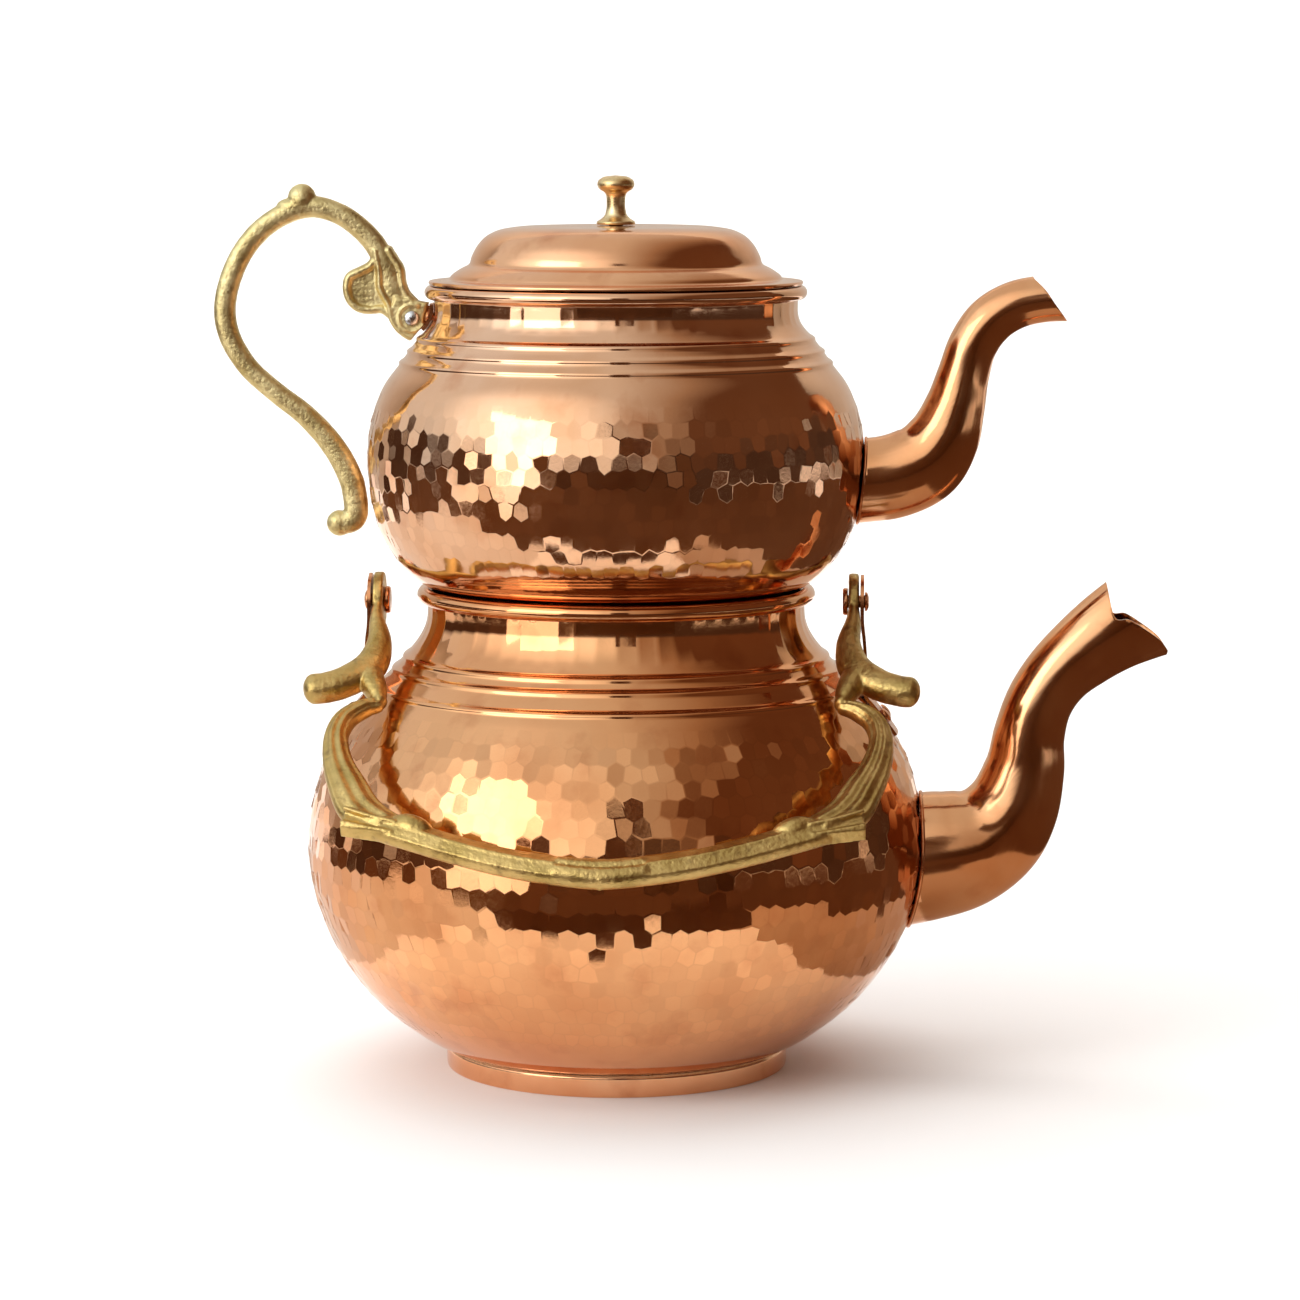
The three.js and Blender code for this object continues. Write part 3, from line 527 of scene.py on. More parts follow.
def rings_of(profile, sides, moved=None):
    """Points of a turned profile, moved outwards if a function of angle and height says so."""
    angles = np.linspace(0, 2 * np.pi, sides, endpoint=False)
    r, z = profile[:, :1] + 0 * angles, profile[:, 1:] + 0 * angles
    if moved:
        r = r + moved(angles, z)
    return np.stack([r * np.cos(angles), r * np.sin(angles), z], axis=2).reshape(-1, 3)


def stitch(fine_first, fine, coarse_first, coarse):
    """Faces between a ring of many points and a ring of few."""
    ratio = fine // coarse
    faces = []
    for j in range(coarse):
        here, there = coarse_first + j, coarse_first + (j + 1) % coarse
        along = [fine_first + (j * ratio + i) % fine for i in range(ratio + 1)]
        half = ratio // 2
        faces += [(a, b, here) for a, b in zip(along[:half], along[1:half + 1])]
        faces.append((along[half], there, here))
        faces += [(a, b, there) for a, b in zip(along[half:-1], along[half + 1:])]
    return faces


def body_shell(name, outline, ridges, marks, mark_size, foot, bead, seed):
    """A hammered body with turned ridges and a rolled bead. Gives the object and what keeps its marks flat."""
    dense = catmull_rom(outline, 60)
    lengths = arc_lengths(dense)
    low, full, high = (float(np.interp(z, dense[:, 1], lengths)) for z in marks)
    columns = round(2 * math.pi * dense[:, 0].max() / mark_size)
    few, many = 2 * columns, 4 * columns
    comb, normals, tones, comb_faces, rows = honeycomb(
        dense, lengths, (low, full, high), mark_size, columns, np.random.default_rng(seed)
    )
    stops = np.linspace(0, low, 6, endpoint=False)
    under = np.stack([np.interp(stops, lengths, dense[:, i]) for i in (0, 1)], axis=1)
    upper = upper_profile(dense, lengths, ridges, high, bead)
    lining = lining_profile(outline, foot)
    neck_low, neck_high = ridges[-1] + FLATS_START, outline[-1][1] + FLATS_END
    blocks = [
        rings_of(under, many),
        comb,
        rings_of(upper, many, lambda angles, z: neck_flats(angles, z, neck_low, neck_high)),
        rings_of(lining, few),
    ]
    start = np.concatenate([[0], np.cumsum([len(block_points) for block_points in blocks])]).tolist()
    faces = ring_faces(len(under), many)
    faces += [tuple(start[1] + i for i in face) for face in comb_faces]
    faces += ring_faces(len(upper), many, start[2])
    faces += ring_faces(len(lining), few, start[3])
    faces += stitch(start[1] - many, many, start[1], few)
    faces += stitch(start[2], many, start[1] + rows * few, few)
    faces += stitch(start[3] - many, many, start[3], few)
    faces += stitch(0, many, start[4] - few, few)
    return new_object(name, np.concatenate(blocks), faces, 60), (comb, normals, tones)


def shade_marks(obj, marks):
    """Shades the hammered part by its marks' own normals and tones, with painted shade along the lines between
    marks. The rest keeps the normals of its faces.
    """
    points, normals, tones = marks
    tree = KDTree(len(points))
    for i, point in enumerate(points * MM):
        tree.insert(point, i)
    tree.balance()
    wanted = []
    tone = obj.data.attributes.new(MARK_TONE_AND_SHADE, "FLOAT", "POINT")
    for number, vertex in enumerate(obj.data.vertices):
        _, i, away = tree.find(vertex.co)
        on_mark = away < SAME_PLACE
        wanted.append(tuple(normals[i]) if on_mark else (0, 0, 0))
        tone.data[number].value = tones[i] if on_mark else 0
    obj.data.normals_split_custom_set_from_vertices(wanted)


def line_inside(obj, outline):
    """Gives the second material to the faces that look towards the axis."""
    radius = radius_at(outline)
    top = outline[-1][1]
    for face in obj.data.polygons:
        centre = face.center / MM
        r = math.hypot(centre.x, centre.y)
        if centre.z < top and r < radius(centre.z) - 0.6 * SHEET:
            face.material_index = 1


def base_pan(name, foot):
    """A flat pan with an upright rim and a rounded lower edge."""
    radius, top, floor = foot["radius"], foot["floor"] + foot["height"], foot["floor"]
    profile = filleted(
        [
            (0, floor), (radius - 0.2, floor), (radius, floor + 1.6), (radius, top - 0.9), (radius - 0.5, top),
            (radius - SHEET, top), (radius - SHEET, floor + SHEET), (0, floor + SHEET),
        ],
        1.1,
    )
    return turned(name, profile, 200, 40)


# ---------- spouts ----------
SPOUT_ROWS, SPOUT_SIDES = 9, 72  # rings between two stations, and points in a ring


def tube_rings(stations, per_span, sides, shrink=0):
    """Elliptical rings along a spout."""
    line = catmull_rom(stations, per_span)
    tangent = unit(np.gradient(line[:, :2], axis=0))
    angles = np.linspace(0, 2 * np.pi, sides, endpoint=False)
    a = (line[:, 2] - shrink)[:, None] * np.cos(angles)
    b = (line[:, 3] - shrink)[:, None] * np.sin(angles)
    x = line[:, :1] - tangent[:, 1:] * a
    z = line[:, 1:2] + tangent[:, :1] * a
    return np.stack([x, b, z], axis=2)


def body_volume(name, outline, offset):
    """The whole inside of a body grown by an offset, for cutting what sits on it."""
    curve = offset_curve(catmull_rom(outline, 10), offset)
    return turned(name, [(0, curve[0, 1]), *curve, (0, curve[-1, 1])], 264)


def spout(name, stations, mouth_cut, outline):
    """A thin curved tube, cut square to its side at the mouth and fitted to the body at its root."""
    outer = tube_rings(stations, SPOUT_ROWS, SPOUT_SIDES)
    inner = tube_rings(stations, SPOUT_ROWS, SPOUT_SIDES, THIN_SHEET)[::-1]
    rings = np.concatenate([outer, inner])
    tube = new_object(name, rings.reshape(-1, 3), ring_faces(len(rings), SPOUT_SIDES, loop=True))
    corner = catmull_rom(mouth_cut[1:7], 6)
    smooth_cut = [mouth_cut[0], *[tuple(p) for p in corner], *mouth_cut[7:]]
    cut(tube, new_object("mouth_cut", *block(smooth_cut, 40)), body_volume("body_cut", outline, GAP))
    bevel = tube.modifiers.new("soft_edge", "BEVEL")
    bevel.width = 0.25 * MM
    bevel.segments = 2
    bevel.limit_method = "ANGLE"
    bevel.angle_limit = math.radians(50)
    apply_modifiers(tube)
    smooth(tube, 40)
    return tube


def strainer_holes():
    """Round bars where holes in the teapot's wall hold back the leaves behind its spout."""
    pitch, height, radius, sides = 6.4, 208, 1.6, 20
    points, faces = [], []
    turn = np.linspace(0, 2 * np.pi, sides, endpoint=False)
    for row in (-1.5, -0.5, 0.5, 1.5):
        for column in ((-0.5, 0.5) if abs(row) > 1 else (-1, 0, 1)):
            first = len(points)
            y, z = column * pitch, height + row * pitch * math.sin(math.pi / 3)
            for x in (74, 96):
                points += [(x, y + radius * math.cos(a), z + radius * math.sin(a)) for a in turn]
            faces += capped_faces(2, sides, first)
    return new_object("strainer_bars", points, faces)


def seam_collar(name, stations, outline, radius):
    """The soldered bead that runs round a spout's root on the body."""
    rings = tube_rings(stations, SPOUT_ROWS, 96)
    body = radius_at(outline)
    track = []
    for j in range(rings.shape[1]):
        side = rings[:, j]
        clear = np.hypot(side[:, 0], side[:, 1]) - body(side[:, 2])
        k = int(np.argmax(clear > 0))
        t = clear[k - 1] / (clear[k - 1] - clear[k])
        track.append(side[k - 1] + (side[k] - side[k - 1]) * t)
    track = np.array(track)
    outward = unit(track * (1, 1, 0))
    track = track + outward * (radius + GAP * 0.5)
    around = unit(np.roll(track, -1, axis=0) - np.roll(track, 1, axis=0))
    side = np.cross(around, outward)
    angles = np.linspace(0, 2 * np.pi, 10, endpoint=False)
    ca, sa = np.cos(angles)[:, None], np.sin(angles)[:, None]
    points = track[:, None] + radius * (ca * outward[:, None] + sa * side[:, None])
    return new_object(name, points.reshape(-1, 3), ring_faces(len(track), 10, loop=True))


# ---------- sheet fittings and rivets ----------
def face_matrix(outline, z, y, side):
    """The frame on a body's outer face at height z and depth y, with Z along the outward normal."""
    r, _, slope = above_face(radius_at(outline), z, 0)
    angle = math.asin(y / r)
    outward = Vector((side * math.cos(angle), math.sin(angle), -slope)).normalized()
    along = Vector((0, 1, 0)).cross(outward).normalized()
    across = outward.cross(along)
    turn = Matrix((along, across, outward)).transposed().to_4x4()
    turn.translation = Vector((side * r * math.cos(angle), y, z))
    return turn


def shoulder_height(r):
    """The height at which the kettle's shoulder has radius r."""
    heights = np.linspace(76, 165, 2000)
    return float(heights[np.argmax(radius_at(KETTLE_OUTLINE)(heights) <= r)])


def placed(obj, matrix_mm):
    """Moves a mesh by a matrix whose shift is in millimetres."""
    matrix = matrix_mm.copy()
    matrix.translation = matrix.translation * MM
    obj.data.transform(matrix)
    return obj


def wall_rivet(name, sizes, matrix):
    shank, head, rise = sizes["shank"], sizes["head"], sizes["rise"]
    face = GAP + THIN_SHEET + GAP
    inside = -SHEET - GAP - 0.7
    turn = np.radians(np.linspace(0, 90, 10))
    dome = [(head * math.cos(a), face + 0.15 + (rise - 0.15) * math.sin(a)) for a in turn]
    profile = [(0, inside - rise * 0.7), (head * 0.86, inside - rise * 0.7), (head, inside - rise * 0.4),
               (head, inside), (shank, inside), (shank, face), (head, face), *dome]
    return placed(turned(name, profile, 40), matrix)


def lug(name, side):
    """A copper strap: foot on the shoulder, a bend, and an upright with a round top beside the bail's eye."""
    body = radius_at(KETTLE_OUTLINE)
    bend_z = shoulder_height(LUG_INNER_X + 1.4)
    foot_z = shoulder_height(LUG_FOOT - 0.8)
    half_sheet = THIN_SHEET / 2
    middle_x = LUG_INNER_X + half_sheet
    top = PIVOT_Z + LUG_HALF_WIDTH
    upright = [(middle_x, top), (middle_x, PIVOT_Z - 6), (middle_x + 0.7, PIVOT_Z - 13),
               (middle_x + 1.1, PIVOT_Z - 20), (middle_x + 0.4, bend_z + 5)]
    pad = [above_face(body, z, GAP + half_sheet + 0.08)[:2] for z in np.linspace(bend_z - 0.6, foot_z, 8)]
    path = catmull_rom([*upright, *pad], 8)
    tangent = unit(np.gradient(path, axis=0))
    away = np.stack([-tangent[:, 1], tangent[:, 0]], axis=1)
    lateral = np.linspace(-1, 1, 17)
    grid = {1: [], -1: []}
    for (x, z), n in zip(path, away):
        over = max(0.0, z - PIVOT_Z)
        half = math.sqrt(max(LUG_HALF_WIDTH**2 - over**2, 0.04))
        hug = float(np.clip((bend_z + 6 - z) / 7, 0, 1))
        for face in (1, -1):
            px, pz = x + n[0] * half_sheet * face, z + n[1] * half_sheet * face
            for v in lateral:
                y = v * half
                curved = math.sqrt(px * px - y * y)
                grid[face].append((px + (curved - px) * hug, y, pz))
    points = np.array(grid[1] + grid[-1])
    points[:, 0] *= side
    strap = new_object(name, points, sheet_faces(len(path), len(lateral)))
    cut(strap, bar("hole", PIVOT_PIN + GAP, (side * 70, 0, PIVOT_Z), (side * 100, 0, PIVOT_Z)))
    return strap


def bail_rivet(name, side):
    eye_inner = PIVOT_X - EYE_THICKNESS / 2 - GAP
    lug_outer = LUG_INNER_X + THIN_SHEET + GAP
    profile = filleted(
        [(0, eye_inner - 1.8), (4.4, eye_inner - 1.8), (4.8, eye_inner - 1.2), (4.8, eye_inner),
         (PIVOT_PIN, eye_inner), (PIVOT_PIN, lug_outer), (3.4, lug_outer), (3.3, lug_outer + 0.8),
         (1.8, lug_outer + 1.4), (0, lug_outer + 1.4)],
        0.4,
    )
    turn = Matrix(((0, 0, side), (0, 1, 0), (-side, 0, 0))).to_4x4()
    turn.translation = Vector((0, 0, PIVOT_Z))
    return placed(turned(name, profile, 48, 40), turn)


# ---------- cast brass ----------
SQUARENESS = 0.85  # 1 gives the bars elliptical sections, less gives squarer ones
END_LENGTH, END_TIP = 0.8, 0.02  # a bar's rounded end: its length as a share of the half depth, and its flat tip


def swept(stations, sides, per_span, relief=None, y=0):
    """A closed bar along stations of (x, z, half width, half depth), with rounded ends. relief says how far
    the face that looks to +Y is sunk, from the share across it and the station's x."""
    line = catmull_rom(stations, per_span)
    tangent = unit(np.gradient(line[:, :2], axis=0))
    angles = np.linspace(0, 2 * np.pi, sides, endpoint=False)
    ca, sa = np.cos(angles), np.sin(angles)
    rings = []
    for (x, z, a, b), t in zip(line, tangent):
        u = a * np.sign(ca) * np.abs(ca) ** SQUARENESS
        v = b * np.sign(sa) * np.abs(sa) ** SQUARENESS
        if relief:
            v = v - (sa > 0.1) * relief(u / a, x)
        rings.append(np.stack([x - t[1] * u, v, z + t[0] * u], axis=1))

    def rounded_end(number, forwards):
        (x, z, a, b), t = line[number], tangent[number]
        centre, along = np.array([x, 0, z]), np.array([t[0], 0, t[1]]) * forwards
        leans = np.linspace(0, math.pi / 2, 6)[1:]
        return [centre + (rings[number] - centre) * max(math.cos(lean), END_TIP)
                + along * min(a, b) * END_LENGTH * math.sin(lean) for lean in leans]

    made = [*rounded_end(0, -1)[::-1], *rings, *rounded_end(-1, 1)]
    return np.concatenate(made) + (0, y, 0), capped_faces(len(made), sides)


def raised_line(line, half_width, half_depth, sides=20, per_span=5, y=0):
    """A bar of one width and depth along points of (x, z)."""
    return swept([(x, z, half_width, half_depth) for x, z in line], sides, per_span, y=y)


def blob(x, z, along, across, depth, angle=0):
    """An ellipsoid in the XZ plane, its long side turned by an angle in degrees."""
    sphere = bmesh.new()
    bmesh.ops.create_uvsphere(sphere, u_segments=28, v_segments=18, radius=1)
    turn = Matrix.Rotation(-math.radians(angle), 3, "Y")
    points = [tuple(turn @ Vector((v.co.x * along, v.co.y * depth, v.co.z * across)) + Vector((x, 0, z)))
              for v in sphere.verts]
    faces = [tuple(v.index for v in face.verts) for face in sphere.faces]
    sphere.free()
    return np.array(points), faces


def mirrored(part):
    points, faces = part
    return points * (-1, 1, 1), [tuple(reversed(face)) for face in faces]


def cast(name, parts, voxel):
    """Melts overlapping closed parts into one casting with soft inner corners."""
    points, faces = [], []
    for part_points, part_faces in parts:
        shift = sum(len(p) for p in points)
        points.append(part_points)
        faces += [tuple(i + shift for i in face) for face in part_faces]
    obj = raw_object(name, np.concatenate(points), faces)
    remesh = obj.modifiers.new("melt", "REMESH")
    remesh.mode = "VOXEL"
    remesh.voxel_size = voxel * MM
    soften = obj.modifiers.new("soften", "SMOOTH")
    soften.factor = 0.5
    soften.iterations = 2
    bpy.context.view_layer.update()
    apply_modifiers(obj)
    roughen(obj, 0.1)
    smooth(obj, 70)
    return obj


def roughen(obj, amount):
    """The uneven skin of a sand casting: every point moves a little along its normal."""
    count = len(obj.data.vertices)
    co, no = np.zeros(count * 3), np.zeros(count * 3)
    obj.data.vertices.foreach_get("co", co)
    obj.data.vertices.foreach_get("normal", no)
    co, no = co.reshape(-1, 3), no.reshape(-1, 3)
    p = co / MM
    wave = np.zeros(count)
    for size, share, turn in ((1.9, 0.4, 0.3), (1.1, 0.35, 1.9), (0.7, 0.25, 4.1)):
        a, b, c = p.T / size
        wave += share * np.sin(a + 1.7 * np.sin(b + turn)) * np.sin(b + 1.3 * np.sin(c + turn)) * np.cos(c + a * 0.4)
    co = co + no * (wave * amount * MM)[:, None]
    obj.data.vertices.foreach_set("co", co.ravel())
    obj.data.update()


BAIL_BOW = [
    (79.5, 55.5, 2.2, 2.8), (84.5, 57.2, 3.2, 3.6), (90.3, 63, 3.8, 4), (92.7, 72.5, 4.2, 4.2), (91, 85, 5.2, 4.2),
    (86.6, 97, 6.6, 4.2), (81.5, 108, 7.2, 4.2), (73, 115.5, 6, 4.2), (62, 121, 5.2, 4.2), (49, 126.5, 5, 4.2),
    (32.5, 132.2, 5, 4.2), (16, 136, 5.1, 4.2), (0, 137.8, 5.4, 4.2),
]
BAIL_ARM = [
    (83.6, 5, 1.8, 6.6), (83.3, 13, 2.8, 5.2), (81.8, 24, 4.4, 4.6), (84, 35.5, 5.8, 4.8), (91.5, 43.3, 5.5, 5),
    (98.5, 46.7, 5.2, 5), (102.4, 47.4, 5.2, 5),
]
BAIL_LEAF = [(85, 37, 4.4, 4.2), (83, 43, 4.6, 4.6), (80.8, 49, 3.8, 4.2), (79.4, 53.4, 2.4, 3)]


def bow_relief(share, x):
    """The bow's face: two sunk bands with a raised line between them, a groove near the middle and ribs
    where it widens."""
    from_middle = abs(x)
    inside = np.clip((0.86 - np.abs(share)) / 0.14, 0, 1)
    if from_middle > 72:
        return 0.85 * inside * (0.5 + 0.5 * np.cos(3 * np.pi * share))
    line = np.exp(-((share / 0.15) ** 2))
    return inside * (0.95 * line if from_middle < 15 else 0.7 * (1 - line))


def bail():
    """The bail, drawn upright with its pivot axis as X, then laid forwards on the belly."""
    bow = [*BAIL_BOW, *[(-x, z, a, b) for x, z, a, b in BAIL_BOW[-2::-1]]]
    right = [
        swept(BAIL_ARM, 28, 8),
        swept(BAIL_LEAF, 20, 6),
        blob(63.6, 117.4, 8.2, 4.9, 5.5, -24),
        raised_line([(87, 116.4), (79, 118.8), (70, 121)], 0.8, 0.8, 12, 4, 2.6),
        raised_line([(86.3, 111), (78, 114.6), (69, 117.4)], 0.8, 0.8, 12, 4, 4),
        blob(79.3, 53.6, 2.6, 2.6, 3.4),
        block([(87.4, 118.2), (85.6, 104), (74, 110), (70, 121.6)], 2.6),
    ]
    right.append(barrel(EYE_RADIUS - 0.3, PIVOT_X - EYE_THICKNESS / 2, PIVOT_X + EYE_THICKNESS / 2))
    parts = [swept(bow, 56, 9, bow_relief), block([(-8, 139.6), (0, 143.2), (8, 139.6), (0, 134)], 2.4)]
    parts += right + [mirrored(part) for part in right]
    made = cast("bail_casting", parts, 0.48)
    turn = Matrix.Rotation(BAIL_REST, 4, "X")
    turn.translation = Vector((0, 0, PIVOT_Z))
    placed(made, turn)
    holes = [bar("hole", PIVOT_PIN + GAP, (side * 70, 0, PIVOT_Z), (side * 96, 0, PIVOT_Z), 40) for side in (-1, 1)]
    cut(made, *holes, sharp_degrees=70)
    return made


def barrel(radius, x0, x1):
    """A round plate across X, centred on the origin's height."""
    sides, edge = 48, 0.5
    angles = np.linspace(0, 2 * np.pi, sides, endpoint=False)
    rings = []
    for x, r in ((x0, radius - edge), (x0 + edge, radius), (x1 - edge, radius), (x1, radius - edge)):
        rings.append(np.stack([np.full(sides, x), r * np.cos(angles), r * np.sin(angles)], axis=1))
    return np.concatenate(rings), capped_faces(4, sides)


HANDLE_STEM = [
    (-75, 268.6, 5.4, 3.4), (-77.3, 273, 4.8, 3.6), (-80.2, 282, 4, 3.8), (-85.8, 292, 3.8, 3.7),
    (-96, 300.3, 3.7, 3.7), (-108, 303.1, 3.8, 3.7), (-121, 297.7, 3.7, 3.7), (-131, 287, 3.7, 3.7),
    (-136.7, 272.5, 3.8, 3.8), (-136.4, 260, 3.8, 3.8), (-130, 248, 3.6, 3.7), (-120, 238.6, 3.6, 3.7),
    (-109, 230, 3.8, 3.7), (-99.6, 219.5, 4.1, 3.8), (-93.5, 208, 4.3, 3.8), (-91.7, 198.4, 4.3, 3.8),
    (-92.6, 193.8, 4.2, 3.8), (-96.4, 192.2, 4, 3.8),
]
HANDLE_LEAF = [
    (-82.2, 287), (-86, 282.6), (-89.8, 280.6), (-93.2, 278.7), (-94.1, 275.1), (-93.2, 271.2), (-90.6, 268.4),
    (-86.8, 267.4), (-81.8, 267.6), (-78.6, 265.4),
]
HANDLE_TAB = [(-79.6, 288.4), (-77.2, 284.6), (-75.4, 281.6), (-74.8, 276.8), (-73.2, 272.8), (-70.4, 269.8)]
HANDLE_VEIN = [(-84, 288), (-82.6, 281), (-82.4, 275), (-79.6, 269.6), (-77.8, 263.4), (-74.8, 259.6), (-71, 257.4)]


def teapot_handle():
    """The ear-shaped casting: forked end at the neck, leaf, ring with a boss on top, and a curled tail."""
    neck = float(radius_at(TEAPOT_OUTLINE)(266)) + 2 * GAP + THIN_SHEET
    pin_x, pin_z = HANDLE_PIN["x"], HANDLE_PIN["z"]
    ring = [(pin_x + 4.6 * math.cos(a), pin_z + 4.6 * math.sin(a)) for a in np.radians(np.linspace(60, 330, 14))]
    parts = [
        swept(HANDLE_STEM, 30, 9),
        blob(-109.8, 306, 5, 5.2, 4.4),
        blob(-109.8, 303.4, 9, 3.4, 3.9),
        blob(-97.6, 192.3, 4.5, 4.6, 4),
        block(catmull_rom(HANDLE_LEAF, 4), 2.3),
        raised_line(HANDLE_LEAF, 1.7, 3.7),
        block([*HANDLE_TAB, (-80, 268), (-84, 285)], 2.7),
        raised_line(HANDLE_TAB, 1.5, 3.8),
        raised_line(HANDLE_VEIN, 1.4, 4.3),
        block([(-neck - 0.2, 269.8), (-71.5, 270.8), (-77, 272), (-79.4, 264), (-76.6, 259.6), (-neck - 5.2, 256.8),
               (-neck - 3.4, 256.8)], 4.1),
        raised_line(ring, 0.9, 4.7, 16, 3),
    ]
    made = cast("teapot_handle_casting", parts, 0.38)
    slot_half = 1.2 + GAP
    cut(
        made,
        new_object("fork", *block([(-75.9, 252), (-50, 252), (-50, 276), (-75.9, 276)], slot_half)),
        body_volume("neck", TEAPOT_OUTLINE, 2 * GAP + THIN_SHEET),
        pin_hole(),
        sharp_degrees=70,
    )
    return made


def pin_hole():
    x, z = HANDLE_PIN["x"], HANDLE_PIN["z"]
    return bar("pin_hole", HANDLE_PIN["radius"] + GAP, (x, -9, z), (x, 9, z))


def handle_pin():
    half = 4.4 + GAP
    radius, head = HANDLE_PIN["radius"], HANDLE_PIN["head"]
    side = [(radius, half), (head, half), (head * 0.97, half + 0.5), (head * 0.75, half + 1.05), (0, half + 1.3)]
    profile = [*[(r, -y) for r, y in reversed(side)], *side]
    turn = Matrix.Rotation(-math.pi / 2, 4, "X")
    turn.translation = Vector((HANDLE_PIN["x"], 0, HANDLE_PIN["z"]))
    return placed(turned("handle_pin_steel", profile, 40, 40), turn)


def handle_bracket():
    """A pad that lies on the teapot's neck and a tongue that stands off it."""
    body = radius_at(TEAPOT_OUTLINE)
    rows = np.linspace(260, 269.6, 12)
    columns = np.linspace(-7.9, 7.9, 15)
    points = []
    for offset in (GAP, GAP + THIN_SHEET):
        for z in rows:
            r, high, _ = above_face(body, z, offset)
            points += [(-math.sqrt(r * r - y * y), y, high) for y in columns]
    pad = new_object("handle_bracket_sheet", points, sheet_faces(len(rows), len(columns)))
    root = -float(body(266)) - GAP
    side = [(root + 0.2, 260.6), (root + 0.2, 268.8), (-75.4, 268.8), (-75.4, 260.6)]
    tongue = new_object("tongue", *block(side, 1.2))
    cut(tongue, body_volume("neck", TEAPOT_OUTLINE, GAP))
    combine(pad, tongue, "UNION")
    cut(pad, pin_hole())
    return pad


# ---------- lid ----------
def lid_shell():
    s, t, top = LID_SEAT, THIN_SHEET, LID_TOP
    outer = filleted(
        [(65.4, s + 0.5), (65.2, s + t), (58.4, s + t + 0.5), (57.4, s + t + 2), (54.6, s + 5.2), (51, s + 6.9),
         (50.5, s + 9.4), (48.6, s + 13.2), (45.6, s + 16.6), (41, s + 18.9), (34, s + 20), (22, top), (2.4, top)],
        3.2, 6,
    )
    inner = filleted(
        [(2.4, top - t), (22, top - t), (33.6, s + 18.8), (40.4, s + 17.7), (44.7, s + 15.6), (47.4, s + 12.6),
         (49.1, s + 9), (49.7, s + 6), (53.8, s + 4.1), (56.3, s + 1.4), (57.6, s), (65.2, s)],
        2.6, 5,
    )
    return turned("lid_dome", [*outer, *inner], 320, 35)


def lid_collar():
    top, radius, depth, t = LID_SEAT - GAP, 59.8, 9, THIN_SHEET
    profile = filleted(
        [(radius - 3.4, top), (radius, top), (radius, top - depth), (radius - t, top - depth), (radius - t, top - t),
         (radius - 3.4, top - t)],
        0.4,
    )
    return turned("lid_band", profile, 200)


def lid_knob():
    foot, top, stud = LID_TOP + GAP, KNOB_TOP, 2
    profile = filleted(
        [(0, LID_TOP - 5.6), (stud, LID_TOP - 5.6), (stud, foot), (6.7, foot), (6.8, foot + 1), (5, foot + 2.1),
         (3.8, foot + 3.3), (3.2, foot + 6), (3.3, top - 7.4), (3.9, top - 5.9), (5.8, top - 4.9), (6.6, top - 3.4),
         (6.2, top - 1.7), (4.2, top - 0.4), (0, top)],
        1.3, 6,
    )
    return turned("lid_knob_turned", profile, 96, 40)


def knob_washer():
    high = LID_TOP - THIN_SHEET - GAP
    return turned(
        "knob_washer_brass", filleted([(2.3, high - 0.9), (6, high - 0.9), (6, high), (2.3, high)], 0.2), 64
    )


def knob_nut():
    high = LID_TOP - THIN_SHEET - 2 * GAP - 0.9
    points = []
    for z, r in ((high - 2.4, 3.7), (high - 2.1, 4), (high - 0.3, 4), (high, 3.7)):
        points += [(r * math.cos(k * math.pi / 3), r * math.sin(k * math.pi / 3), z) for k in range(6)]
    nut = new_object("knob_nut_brass", points, capped_faces(4, 6))
    cut(nut, bar("bore", 2.3, (0, 0, high - 5), (0, 0, high + 3), 24), sharp_degrees=20)
    return nut


# ---------- the pieces ----------
def spout_way():
    """The bore of the kettle's spout where it goes through the wall."""
    rings = tube_rings(KETTLE_SPOUT[:3], 3, 32, THIN_SHEET + 1)
    return new_object("spout_way", rings.reshape(-1, 3), capped_faces(len(rings), 32))


def fitting(obj, body, *nodes):
    finish_piece(obj, body, "plain_copper", nodes, FITTING_COPPER)


def pot(body, outline, shell_sizes, foot, bead, seed, opening, spout_sizes, seam, copper):
    """The shell, pan, spout and spout's seam of the kettle or the teapot. opening makes what is cut out of the
    shell behind the spout."""
    shell, marks = body_shell(f"{body}_shell", outline, *shell_sizes, foot, bead, seed)
    cut(shell, opening(), sharp_degrees=60)
    line_inside(shell, outline)
    shade_marks(shell, marks)
    finish_piece(shell, body, "hammered_copper", [f"{body}_body"], copper, TIN)
    finish_piece(base_pan(f"{body}_foot_pan", foot), body, "plain_copper", [f"{body}_base"], SPUN_COPPER)
    tube = spout(f"{body}_spout_tube", *spout_sizes, outline)
    finish_piece(tube, body, "plain_copper", [f"{body}_spout"], SPOUT_COPPER)
    fitting(seam_collar(f"{body}_spout_seam", spout_sizes[0], outline, seam), body)


def rivet_pair(body, outline, z, side, sizes, piece, node):
    for y, place in ((-sizes["y"], "front"), (sizes["y"], "rear")):
        rivet = wall_rivet(f"{piece}_{place}", sizes, face_matrix(outline, z, y, side))
        fitting(rivet, body, f"{node}_{place}")


